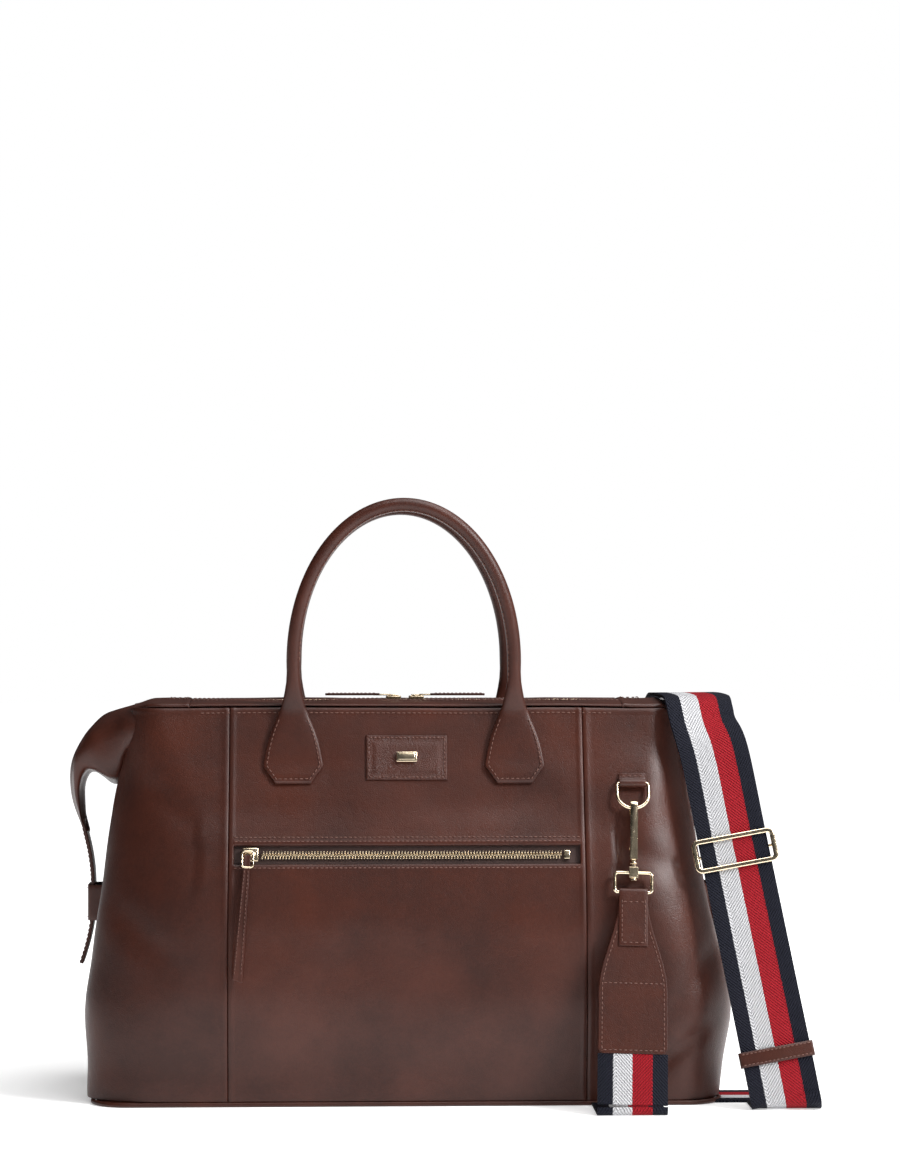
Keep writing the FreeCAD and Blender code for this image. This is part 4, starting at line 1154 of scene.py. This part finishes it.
def handle(side):
    """One rolled handle and its two sewn tabs, made as one piece of leather that bends at the top seam."""
    name = "front" if side == FRONT else "rear"
    hinge = side * (CROWN_DEPTH + 0.008)
    sections = leg_sections(HANDLE_SHIFT + HANDLE_SPAN, side)
    for step in range(0, 73):
        turn = math.pi * step / 72
        x, up = HANDLE_SPAN * math.cos(turn), HANDLE_RISE * math.sin(turn)
        out = Vector((math.cos(turn) / HANDLE_SPAN, 0, math.sin(turn) / HANDLE_RISE)).normalized()
        spot = Vector((HANDLE_SHIFT + x, hinge, HANDLE_SPRING + up))
        sections.append((spot, out, Vector((0, side, 0)), ROLL, ROLL, 2.0))
    far = [(spot, -across, out, wide, thick, square)
           for spot, across, out, wide, thick, square in
           reversed(leg_sections(HANDLE_SHIFT - HANDLE_SPAN, side))]
    thing = loft(name + "_handle_leather", sections + far, BROWN, count=32)
    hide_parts(name + "_handle", name + "_handle_core", name + "_handle_tabs")
    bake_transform(thing)
    tab_lines = []
    for end in (-1, 1):
        x = HANDLE_SHIFT + end * HANDLE_SPAN
        for turn in (-1, 1):
            tab_lines.append([face_spot(x + turn * (wide - 0.0026), CROWN - drop * math.cos(SLOPE),
                                        tab_height(wide, thick, square), side)
                              for drop, wide, thick, square in TAB[1:-1]])
        drop, wide, thick, _ = TAB[1]
        tab_lines.append([face_spot(x + lerp(-1, 1, step / 8) * (wide - 0.0026),
                                    CROWN - (drop - 0.0012) * math.cos(SLOPE), 2 * thick + 0.0006, side)
                          for step in range(9)])
    stitch_mesh(name + "_tab_stitches", tab_lines, "root")
    roll_line = []
    for spot, out, thick_way, wide, thick, _ in sections[len(TAB) + 3:]:
        roll_line.append(spot - out * wide * 0.86 + thick_way * thick * 0.55)
    stitch_mesh(name + "_roll_stitches", [roll_line], name + "_handle", pitch=0.0042, length=0.0030)


# ---------------------------------------------------------------- pocket, patch, base, lining

def slope_place(x, level, lift=0.0, side=FRONT):
    """A frame on the sloping face: -Y out of the bag, +Z up the face, as the CAD has it."""
    out = CROWN_DEPTH + (CROWN - level) * math.tan(SLOPE) + lift * math.cos(SLOPE)
    turn = Matrix.Rotation(side * SLOPE, 4, "X")
    if side == REAR:
        turn = turn @ Matrix.Rotation(math.pi, 4, "Z")
    return Matrix.Translation((x, side * out, level + lift * math.sin(SLOPE))) @ turn


def pocket():
    """The front pocket's zip in its window, with stitching above and below."""
    place = slope_place(0, POCKET_LEVEL)
    half, reach, depth = 0.1375, 0.0118, 0.0028
    rows = []
    for step in range(13):
        up = lerp(-reach, reach, step / 12)
        dish = depth + 0.0006 * math.cos(up / reach * math.pi / 2)
        rows.append([place @ Vector((lerp(-half, half, column / 110), dish, up)) for column in range(111)])
    tape = sheet_of("pocket_tape_cloth", rows, TAPE, 0.0006)
    place_piece(tape, "root", "zip_tape", "pocket_zip_tape")
    low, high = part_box("pocket_zip_teeth")
    pitch, stop_long, stop_half = 0.0023, 0.0046, 0.0034
    count = int((high.x - low.x - 0.006) / pitch)
    row_middle = (low.x + high.x - 0.005) / 2
    upright = place @ Matrix.Translation((row_middle, 0.0016, 0)) @ Matrix.Rotation(math.pi / 2, 4, "X")
    for side, name in ((-1, "pocket_teeth_low"), (1, "pocket_teeth_high")):
        teeth = tooth_row(name, count, pitch, upright, side, 0.0011, 0.0030)
        place_piece(teeth, "root", "pale_gold", "pocket_zip_teeth")
    stop = blocks("pocket_stop", [((high.x - stop_long, 0.0002, -stop_half), (high.x, 0.0028, stop_half),
                                   0.0006)], GOLD, place)
    place_piece(stop, "root", "pale_gold")
    lines = []
    for off in (0.0105, 0.0137, -0.0105):
        level = POCKET_LEVEL + off * math.cos(SLOPE)
        lines.append([face_spot(lerp(-0.133, 0.133, step / 70), level, 0.0004) for step in range(71)])
    stitch_mesh("pocket_stitches", lines, "root")


# how far the pocket's pull leans to one side along its length
PULL_DRIFT = 0.0075


def pocket_slider():
    """The pocket's slider, its bail and its long leather pull."""
    low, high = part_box("pocket_zip_slider")
    place = slope_place((low.x + high.x) / 2, POCKET_LEVEL)
    long, tall, cheek = 0.0060, 0.0053, 0.0036
    body = blocks("pocket_slider_body",
                  [((-long, -0.0016, -tall), (long, 0.0, tall), 0.0007),
                   ((-long, -0.0004, -tall), (long, 0.0016, -cheek), 0.0005),
                   ((-long, -0.0004, cheek), (long, 0.0016, tall), 0.0005),
                   ((-0.0042, -0.0034, -0.0013), (0.0042, -0.0012, 0.0013), 0.0008)], GOLD, place)
    place_piece(body, "pocket_slider", "pale_gold", "pocket_zip_slider")
    low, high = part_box("pocket_zip_pull")
    centre = (low.x + high.x) / 2
    half = (high.x - low.x) / 2
    lift, thick = 0.0042, 0.0019
    top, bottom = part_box("pocket_zip_bail")[0].z + 0.0085, low.z + 0.0030
    lean = Vector((1, 0, -PULL_DRIFT / (top - bottom))).normalized()
    route = []
    for step in range(13):
        share = step / 12
        near_bail = 0.0006 if step < 2 else 0.0
        spot = face_base(centre - PULL_DRIFT * share, lerp(top, bottom, share), lift + near_bail)
        route.append((spot, lean))
    widths = (1.3 * half, 2.05 * half)
    pull = strip("pocket_pull_leather", route, widths, thick, BROWN, columns=7, crown=0.0003)
    # the lower end is cut at a slant
    for vert in pull.data.vertices:
        low_share = smooth((low.z + 0.012 - vert.co.z) / 0.009)
        vert.co.z -= low_share * 0.30 * (vert.co.x - (centre - PULL_DRIFT))
    place_piece(pull, "pocket_pull", "brown_leather", "pocket_zip_pull")
    lines = []
    for turn in (-1, 1):
        line = []
        for step in range(21):
            share = 0.12 + 0.83 * step / 20
            reach = lerp(0.65, 1.025, share) * half - 0.0012
            line.append(face_base(centre - PULL_DRIFT * share + turn * reach, lerp(top, bottom, share),
                                  lift + 0.00125))
        lines.append(line)
    stitch_mesh("pocket_pull_stitches", lines, "pocket_pull", pitch=0.0031, length=0.0021, radius=0.0003)


def face_base(x, level, lift):
    """As face_spot, but on the form without its sag: for stiff pieces that hang over it."""
    base = Vector((x, FRONT * section(level)[1], level))
    return base + out_of_face(level, FRONT) * lift


# the patch's middle, half its height, and the line of stitches inside its edge
PATCH_LEVEL, PATCH_HALF, PATCH_INSET = 0.264, 0.018, 0.0022


def patch_lift(edge):
    """Height of the patch at a distance from its edge: rolled edge, stitch groove, pressed frame."""
    roll = 0.0013 * math.sqrt(max(1 - (1 - min(edge / 0.0011, 1.0)) ** 2, 0.0))
    frame_line = 0.00045 * math.exp(-((edge - 0.0052) / 0.0005) ** 2)
    groove = 0.00025 * math.exp(-((edge - PATCH_INSET) / 0.0005) ** 2)
    return 0.0003 + roll - frame_line - groove


def patch():
    """The sewn leather patch, with a pressed inner border and a plain metal bar."""
    low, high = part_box("patch")
    half = (high.x - low.x) / 2
    up = PATCH_HALF
    rows = []
    for mark_z in stations(2 * up, step=0.003):
        row = []
        for mark_x in stations(2 * half, step=0.003):
            x, z = mark_x - half, mark_z - up
            lift = patch_lift(min(half - abs(x), up - abs(z)))
            row.append(face_spot(x, PATCH_LEVEL + z * math.cos(SLOPE), lift))
        rows.append(row)
    thing = sheet_of("patch_leather", rows, BROWN_GRAIN, 0.0009)
    place_piece(thing, "root", "brown_leather", "patch")
    reach_x, reach_z = half - PATCH_INSET, up - PATCH_INSET
    corners = [(-reach_x, -reach_z), (reach_x, -reach_z), (reach_x, reach_z), (-reach_x, reach_z)]
    border = []
    for (x0, z0), (x1, z1) in zip(corners, corners[1:] + corners[:1]):
        border.append([face_spot(lerp(x0, x1, step / 10), PATCH_LEVEL + lerp(z0, z1, step / 10)
                                 * math.cos(SLOPE), 0.0018) for step in range(11)])
    stitch_mesh("patch_stitches", border, "root", pitch=0.0032, length=0.0022)
    low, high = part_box("patch_bar")
    wide, tall, step = (high.x - low.x) / 2, 0.0040, 0.0016
    bar = blocks("patch_badge", [((-wide, -0.0028, -tall), (wide, -0.0004, tall), 0.0006),
                                 ((-wide + step, -0.0032, -tall + step),
                                  (wide - step, -0.0026, tall - step), 0.0003)],
                 GOLD, slope_place(0, PATCH_LEVEL))
    place_piece(bar, "root", "pale_gold", "patch_bar")


def lining():
    """The loose cloth lining, with a leather facing sewn round inside the top."""
    rows = []
    for step in range(61):
        level = lerp(0.0085, 0.2995, step / 60)
        ring = ring_outline(level, 0.0085 + 0.0040 * smooth((CROWN - level) / 0.05))
        row = []
        for x, y in ring + ring[:1]:
            slack = 0.0018 * noise.noise(Vector((x * 22, y * 22, level * 14)))
            inward = Vector((-x, -y * 2, 0)).normalized()
            row.append(Vector((x, y, level)) + inward * (slack + 0.001))
        rows.append(row)
    centre = Vector((0, 0, rows[0][0].z))
    base = [[centre + (spot - centre) * share for spot in rows[0]] for share in (0.02, 0.3, 0.6, 0.85)]
    thing = sheet_of("lining_cloth_bag", base + rows, LINING, 0.0008)
    place_piece(thing, "root", "lining_cloth", "lining")
    facing = []
    for step in range(9):
        level = lerp(0.2715, 0.3015, step / 8)
        ring = ring_outline(level, lerp(0.0072, 0.0036, step / 8))
        facing.append([Vector((x, y, level)) for x, y in ring + ring[:1]])
    band = sheet_of("facing_leather", facing, BROWN, 0.0010)
    place_piece(band, "root", "brown_leather")


def ring_outline(level, inset):
    """The leather's own outline at a level, drawn in by an inset."""
    line = []
    for end, side in ((RIGHT, FRONT), (LEFT, FRONT), (LEFT, REAR), (RIGHT, REAR)):
        part = [(end * x, side * depth) for x, depth in quarter(level, end, side)]
        line += part if end * side > 0 else part[::-1]
    ring = resample(line + line[:1], [step / 160 for step in range(160)])
    drawn = []
    for index, (x, y) in enumerate(ring):
        before, after = ring[index - 1], ring[(index + 1) % len(ring)]
        along = Vector((after[0] - before[0], after[1] - before[1])).normalized()
        drawn.append((x + along.y * inset, y - along.x * inset))
    return drawn


def inner_parts():
    """What shows only when the bag is open or seen from below: base, board and pocket bag."""
    board_low, board_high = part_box("base_board")
    rows = []
    for share in (0.02, 0.3, 0.6, 0.85, 0.97, 1.0):
        ring = ring_outline(FOOT, 0.0038)
        lift = board_high.z - (0.0008 if share == 1.0 else 0.0)
        rows.append([Vector((x * share, y * share, lift)) for x, y in ring + ring[:1]])
    board = sheet_of("board_sheet", rows, BOARD, board_high.z - board_low.z - 0.0009)
    place_piece(board, "root", "board", "base_board")
    low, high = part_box("pocket_bag")
    rows = []
    for step in range(31):
        level = lerp(high.z, low.z, step / 30)
        row = []
        for column in range(41):
            x = lerp(low.x, high.x, column / 40)
            slack = 0.0008 * noise.noise(Vector((x * 30, 7.0, level * 30)))
            row.append(face_base(x, level, -0.0060 + slack))
        rows.append(row)
    cloth_bag = sheet_of("pocket_cloth", rows, LINING, 0.0010)
    place_piece(cloth_bag, "root", "lining_cloth", "pocket_bag")


# ---------------------------------------------------------------- strap hardware and webbing

# how far the D-ring and the chain below it lean out from the bag, and the chain to one side
RING_TILT, CHAIN_TILT, CHAIN_LEAN = math.radians(28.2), math.radians(17.5), math.radians(1.8)
# from the D-ring's lowest wire down to the leather end's hem
END_DROP = 0.190
# level of the middle of webbing that lies on the floor
FLOOR_LIE = WEB_THICK / 2 + 0.00005


def chain_place(side):
    """The frame of all that hangs from the D-ring: origin at the ring's lowest wire, -Y outwards."""
    ring = slope_place(RING_SPOT[0], 0.2432, 0.0037, side).translation
    drop = Matrix.Rotation(side * RING_TILT, 3, "X") @ Vector((0, 0, -0.02115))
    turn = Matrix.Rotation(CHAIN_LEAN, 4, "Y") @ Matrix.Rotation(side * CHAIN_TILT, 4, "X")
    if side == REAR:
        turn = turn @ Matrix.Rotation(math.pi, 4, "Z")
    return Matrix.Translation(ring + drop) @ turn


def local_route(place, spots):
    """A strip's route from points in a frame's own YZ plane."""
    turned = place.to_3x3() @ Vector((1, 0, 0))
    return [(place @ Vector((0, y, z)), turned) for y, z in spots]


# the flared leather end: half width, and height below the D-ring's lowest wire
END_SHAPE = ((0.0104, -0.0720), (0.0121, -0.0840), (0.0150, -0.0960), (0.0188, -0.1080),
             (0.0226, -0.1205), (0.0252, -0.1320), (0.0261, -0.1420), (0.0262, -0.1860),
             (0.0246, -0.1890), (0.0222, -0.1900))
SWIVEL_BAR, NECK_FOOT = -0.0660, -0.1080
NECK_PLY, NECK_GAP, NECK_WIDTH = 0.0013, 0.00175, 0.022


def leather_end(side):
    """The flared leather end of the strap, and the neck folded over the swivel's bar."""
    name = "front" if side == FRONT else "rear"
    body = "front_strap" if side == FRONT else "rear_swivel"
    place = chain_place(side)
    outline = list(END_SHAPE) + [(-x, z) for x, z in reversed(END_SHAPE)]
    flare = plate(name + "_end_leather", outline, 0.0034, place, BROWN)
    place_piece(flare, body, "brown_leather", name + "_strap_end")
    inset, hem, crease, reach = 0.0027, -0.1875, -0.1365, 0.0232
    edge = [(x - inset, z) for x, z in END_SHAPE[2:8]] + [(END_SHAPE[7][0] - inset, hem)]
    lines = []
    for lift in (-0.0018, 0.0018):
        for turn in (-1, 1):
            lines.append([place @ Vector((turn * x, lift, z)) for x, z in catmull(edge, 4)])
        for level in (hem, crease):
            lines.append([place @ Vector((lerp(-reach, reach, k / 16), lift, level)) for k in range(17)])
    stitch_mesh(name + "_end_stitches", lines, body)
    neck_tab(name, body, place)


def neck_tab(name, body, place):
    """The short strap folded over the swivel's bar and sewn to both faces of the leather end."""
    radius = NECK_GAP + NECK_PLY / 2
    down = [(-radius, level) for level in (NECK_FOOT, -0.0980, -0.0860, -0.0760, -0.0670)]
    turns = [math.pi * step / 8 for step in range(1, 8)]
    over = [(-radius * math.cos(turn), SWIVEL_BAR + radius * math.sin(turn)) for turn in turns]
    route = local_route(place, down + over + [(-y, z) for y, z in reversed(down)])
    neck = strip(name + "_neck_leather", route, NECK_WIDTH, NECK_PLY, BROWN, steps=3, columns=7)
    place_piece(neck, body, "brown_leather", name + "_neck_tab")
    reach, top, foot = 0.0088, -0.0740, -0.1055
    lines = []
    for face in (-1, 1):
        lift = face * (NECK_GAP + NECK_PLY + 0.0001)
        for x in (-reach, reach):
            lines.append([place @ Vector((x, lift, lerp(-0.0720, foot, k / 10))) for k in range(11)])
        for level in (foot, top):
            lines.append([place @ Vector((lerp(-reach, reach, k / 6), lift, level)) for k in range(7)])
    stitch_mesh(name + "_neck_stitches", lines, body)


def ring_loop(side):
    """The sewn leather loop that holds a D-ring to the bag."""
    name = "front" if side == FRONT else "rear"
    place = slope_place(RING_SPOT[0], 0.2432, 0.0037, side)
    radius = 0.0026
    spots = [(0.0022, 0.0085), (0.0020, 0.0050), (0.0012, 0.0028)]
    for step in range(0, 9):
        turn = math.radians(70 - step * 37)
        spots.append((-radius * math.cos(turn) * 0.95, radius * math.sin(turn)))
    spots += [(0.0028, -0.0004), (0.0031, 0.0030), (0.0032, 0.0080)]
    route = local_route(place, spots)
    loop = strip(name + "_loop_leather", route, 0.0204, 0.0011, BROWN, steps=3, columns=7)
    place_piece(loop, "root", "brown_leather", name + "_ring_loop")
    line = [place @ Vector((lerp(-0.0088, 0.0088, k / 6), 0.0016, 0.0062)) for k in range(7)]
    stitch_mesh(name + "_loop_stitches", [line], "root")


def front_foot():
    """Where the hanging front webbing reaches the floor fold."""
    place = chain_place(FRONT)
    return place @ Vector((0, 0, -(place.translation.z - 0.008) / math.cos(CHAIN_TILT)))


def run_frame():
    """Top and bottom of the straight stretch of webbing at the front."""
    return Vector((0.238, -0.074, 0.266)), Vector((0.281, -0.1315, 0.030))


# the webbing's middle line, as (x, y, level): up from the floor at the front, over the top, down the back
RISE = ((0.287, -0.0932, FLOOR_LIE), (0.287, -0.110, FLOOR_LIE), (0.287, -0.123, FLOOR_LIE + 0.0001),
        (0.2865, -0.129, 0.0036), (0.2856, -0.1324, 0.0068), (0.2843, -0.1332, 0.0124))
CREST = ((0.2305, -0.0625, 0.290), (0.2286, -0.0575, 0.300), (0.2276, -0.053, 0.306),
         (0.227, -0.046, 0.3092), (0.2264, -0.034, 0.3102), (0.2254, -0.002, 0.3106),
         (0.2242, 0.030, 0.3102), (0.2234, 0.046, 0.3094), (0.2224, 0.057, 0.3064),
         (0.221, 0.066, 0.300))
FALL = ((0.218, 0.080, 0.282), (0.214, 0.095, 0.255), (0.2095, 0.112, 0.222), (0.2025, 0.131, 0.170),
        (0.191, 0.150, 0.110), (0.179, 0.1625, 0.060), (0.174, 0.1675, 0.030), (0.172, 0.168, 0.015),
        (0.1708, 0.1655, 0.0076), (0.170, 0.1605, 0.0041), (0.1692, 0.1556, 0.0072),
        (0.1688, 0.1528, 0.014), (0.1684, 0.1506, 0.024))
# the webbing's width points this way where it lies level, on the straight stretch, and on the crest
LEVEL_WAY, RUN_WAY, CREST_WAY = Vector((1, 0, 0)), Vector((0.976, 0, 0.18)), Vector((0.98, 0.18, 0))
# the floor fold at the front: distance back from the hanging webbing, and level
FRONT_FOLD = ((0, 0.0062), (-0.0007, 0.0042), (0.0005, 0.0022), (0.0034, FLOOR_LIE), (0.02, FLOOR_LIE))


def front_webbing():
    """The hanging front length, which moves with its leather end."""
    place = chain_place(FRONT)
    drop = (place.translation - front_foot()).length
    spots = [(0.0, lerp(-END_DROP, -drop, step / 3)) for step in range(4)]
    front = strip("front_webbing_cloth", local_route(place, spots), WEB_WIDTH, WEB_THICK, WEBBING)
    place_piece(front, "front_strap", "striped_webbing", "front_webbing")


def floor_webbing():
    """The length that lies on the floor under the base, and its turn towards the bag's end."""
    foot = front_foot()
    folds = FRONT_FOLD + ((-foot.y - 0.093, FLOOR_LIE), (-foot.y - 0.04, FLOOR_LIE))
    route = [(Vector((foot.x, foot.y + back, up)), LEVEL_WAY) for back, up in folds]
    under = strip("under_webbing_cloth", route, WEB_WIDTH, WEB_THICK, WEBBING, steps=4)
    place_piece(under, "root", "striped_webbing", "webbing_under_bag")
    across = Vector((0, 1, 0))
    turned = [(Vector((x, -0.0665, FLOOR_LIE)), across) for x in (0.167, 0.20, 0.24, 0.28, 0.3135)]
    cross = strip("cross_webbing_cloth", turned, WEB_WIDTH, WEB_THICK * 0.9, WEBBING, steps=2)
    place_piece(cross, "root", "striped_webbing", "webbing_under_bag")


def over_webbing():
    """The length that rises from the floor, crosses the bag's end and falls to the rear leather end."""
    top, bottom = run_frame()
    end = chain_place(REAR) @ Vector((0, 0, -END_DROP - 0.0003))
    route = [(Vector(spot), LEVEL_WAY) for spot in RISE]
    route += [(bottom.lerp(top, step / 4), RUN_WAY) for step in range(5)]
    route += [(Vector(spot), CREST_WAY) for spot in CREST]
    route += [(Vector(spot), LEVEL_WAY) for spot in FALL] + [(end, LEVEL_WAY)]
    over = strip("over_webbing_cloth", route, WEB_WIDTH, WEB_THICK, WEBBING)
    place_piece(over, "root", "striped_webbing", "webbing_over_bag")


def run_place(share):
    """A frame on the straight stretch: +Z up along the webbing, -Y out of its face."""
    top, bottom = run_frame()
    along = (top - bottom).normalized()
    across = (RUN_WAY - along * RUN_WAY.dot(along)).normalized()
    inward = along.cross(across)
    turn = Matrix((across, inward, along)).transposed().to_4x4()
    return Matrix.Translation(bottom + (top - bottom) * share) @ turn


def rounded_rectangle(half_x, half_y, corner, steps):
    """Points round a rectangle with round corners, starting at its +x end."""
    line = []
    for sx, sy, start in ((1, 1, 0), (-1, 1, 90), (-1, -1, 180), (1, -1, 270)):
        for step in range(steps + 1):
            turn = math.radians(start + step * 90 / steps)
            line.append((sx * (half_x - corner) + corner * math.cos(turn),
                         sy * (half_y - corner) + corner * math.sin(turn)))
    return line


def strap_slider():
    """The slide buckle: a flat rounded frame over the webbing, with its bar behind."""
    place = run_place(0.69)
    turn = place.to_3x3()
    half_x, half_z, wire, thick = 0.0305, 0.0113, 0.0019, 0.0011
    line = rounded_rectangle(half_x, half_z, 0.0035, 6)
    sections = []
    count = len(line)
    for index in range(count + 1):
        x, z = line[index % count]
        before, after = line[(index - 1) % count], line[(index + 1) % count]
        along = Vector((after[0] - before[0], 0, after[1] - before[1])).normalized()
        side = Vector((-along.z, 0, along.x))
        sections.append((place @ Vector((x, -0.0030, z)), turn @ side, turn @ Vector((0, 1, 0)),
                         wire, thick, 3.5))
    ring = loft("slider_ring", sections, GOLD, count=16, caps=False)
    place_piece(ring, "strap_slider", "pale_gold", "strap_slider")
    post, tall = half_x - 0.0014, 0.0012
    bars = blocks("slider_bars", [((-half_x, -0.0036, -tall), (-post, 0.0034, tall), 0.0005),
                                  ((post, -0.0036, -tall), (half_x, 0.0034, tall), 0.0005),
                                  ((-half_x, 0.0017, -tall), (half_x, 0.0038, tall), 0.0007)], GOLD, place)
    place_piece(bars, "strap_slider", "pale_gold")


def strap_keeper():
    """The leather loop that holds the webbing's plies together near the floor."""
    place = run_place(0.05)
    wall, tall, play = 0.0015, 0.0114, 0.0006
    half, deep = WEB_WIDTH / 2 + play + wall / 2, WEB_THICK / 2 + play + wall / 2
    line = rounded_rectangle(half, deep, 0.0011, 4)
    line.append(line[0])
    rows = [[place @ Vector((x, y, lerp(-tall / 2, tall / 2, k / 6))) for x, y in line] for k in range(7)]
    loop = sheet_of("keeper_loop_leather", rows, BROWN, wall, centre=place.translation, offset=0.0)
    place_piece(loop, "strap_keeper", "brown_leather", "strap_keeper")
    reach, face = half - 0.001, -deep - wall / 2 - 0.0001
    lines = [[place @ Vector((lerp(-reach, reach, k / 16), face, level)) for k in range(17)]
             for level in (-tall / 2 + 0.0017, tall / 2 - 0.0017)]
    stitch_mesh("keeper_loop_stitches", lines, "strap_keeper", pitch=0.003, length=0.0021)


def kept_metal():
    """The metal that keeps its CAD shape, with its edges eased."""
    for name in ("front_d_ring", "rear_d_ring", "front_snap_hook", "rear_snap_hook", "front_hook_gate",
                 "rear_hook_gate", "front_swivel_ring", "rear_swivel_ring", "pocket_zip_bail"):
        thing = NODES[name]
        weld = thing.modifiers.new("Weld", "WELD")
        weld.merge_threshold = 0.00001
        ease = thing.modifiers.new("Ease", "BEVEL")
        ease.width = 0.00035
        ease.segments = 2
        ease.limit_method = "ANGLE"
        ease.angle_limit = math.radians(40)
        ease.harden_normals = True


# ---------------------------------------------------------------- stitching of the body

def body_stitches():
    """A line of thread below the crown, front and back."""
    lines = []
    for side in (FRONT, REAR):
        lines.append([face_spot(lerp(-0.160, 0.160, k / 90), 0.2986, 0.0002, side)
                      - Vector((0, 0, crown_dip(lerp(-0.160, 0.160, k / 90)) * 0.8)) for k in range(91)])
    stitch_mesh("seam_stitches", lines, "root", pitch=0.0040, length=0.0027)


# ---------------------------------------------------------------- setting

# the room's light from the dark side and from the bright side
ROOM_DIM, ROOM_BRIGHT = 0.02, 0.30
LIGHT_AIM = Vector((0.0, 0.0, 0.2))
# the camera looks level, turned a little towards the bag's right end
CAMERA_AIM, CAMERA_TURN, CAMERA_REACH = Vector((0.032, -0.110, 0.395)), math.radians(2), 2.60


def area_light(name, place, size, power):
    """A soft light aimed at the bag."""
    data = bpy.data.lights.new(name, "AREA")
    data.shape = "RECTANGLE"
    data.size, data.size_y = size
    data.energy = power
    light = bpy.data.objects.new(name, data)
    light.location = place
    light.rotation_euler = (LIGHT_AIM - Vector(place)).to_track_quat("-Z", "Y").to_euler()
    bpy.context.collection.objects.link(light)


def studio_world():
    """White behind the bag; dim light from the room, a little brighter from above and the right."""
    world = bpy.data.worlds.new("studio")
    world.use_nodes = True
    tree = world.node_tree
    shown = tree.nodes["Background"]
    shown.inputs["Color"].default_value = (1, 1, 1, 1)
    room = tree.nodes.new("ShaderNodeBackground")
    parts = tree.nodes.new("ShaderNodeSeparateXYZ")
    tree.links.new(tree.nodes.new("ShaderNodeTexCoord").outputs["Generated"], parts.inputs[0])
    across = math_node(tree, "MULTIPLY", parts.outputs[0], 0.5)
    up = math_node(tree, "MULTIPLY", parts.outputs[2], 0.6)
    tone = ramp(tree, math_node(tree, "ADD", across, up), 0.0, 1.0, ((ROOM_DIM,) * 3, (ROOM_BRIGHT,) * 3))
    tree.links.new(tone, room.inputs["Color"])
    path = tree.nodes.new("ShaderNodeLightPath")
    mix = tree.nodes.new("ShaderNodeMixShader")
    tree.links.new(path.outputs["Is Camera Ray"], mix.inputs["Fac"])
    tree.links.new(room.outputs[0], mix.inputs[1])
    tree.links.new(shown.outputs[0], mix.inputs[2])
    tree.links.new(mix.outputs[0], tree.nodes["World Output"].inputs["Surface"])
    bpy.context.scene.world = world


def setting():
    """White table with soft light from the upper right, and the camera."""
    verts = [(-8, -6, 0), (8, -6, 0), (8, 9, 0), (-8, 9, 0)]
    floor = new_object("floor", verts, [(0, 1, 2, 3)], floor_material())
    studio_world()
    area_light("key", (2.3, -1.5, 2.1), (0.9, 0.9), 120)
    area_light("top", (0.6, -0.3, 2.6), (2.4, 1.6), 62)

    data = bpy.data.cameras.new("camera")
    data.sensor_width = 36.0
    data.lens = 104.7
    data.clip_start = 0.05
    data.clip_end = 50
    camera = bpy.data.objects.new("camera", data)
    away = Vector((-math.sin(CAMERA_TURN), -math.cos(CAMERA_TURN), 0))
    camera.location = CAMERA_AIM + away * CAMERA_REACH
    camera.rotation_euler = (math.pi / 2, 0, -CAMERA_TURN)
    bpy.context.collection.objects.link(camera)
    bpy.context.scene.camera = camera
    bpy.context.scene.view_settings.view_transform = "Standard"


def main():
    """The whole bag and its setting."""
    paint_frame()
    kept_metal()
    for side in (FRONT, REAR):
        centre_panel(side)
        for end in (LEFT, RIGHT):
            side_panel(end, side)
        flap(side)
        zip_tape(side)
        top_teeth(side)
        handle(side)
        ring_loop(side)
        leather_end(side)
    for end in (LEFT, RIGHT):
        gusset_panel(end)
        end_cover(end)
        side_strap(end)
        top_slider(end)
    pocket()
    pocket_slider()
    patch()
    lining()
    inner_parts()
    body_stitches()
    front_webbing()
    floor_webbing()
    over_webbing()
    strap_slider()
    strap_keeper()
    setting()
    bpy.context.view_layer.update()


main()
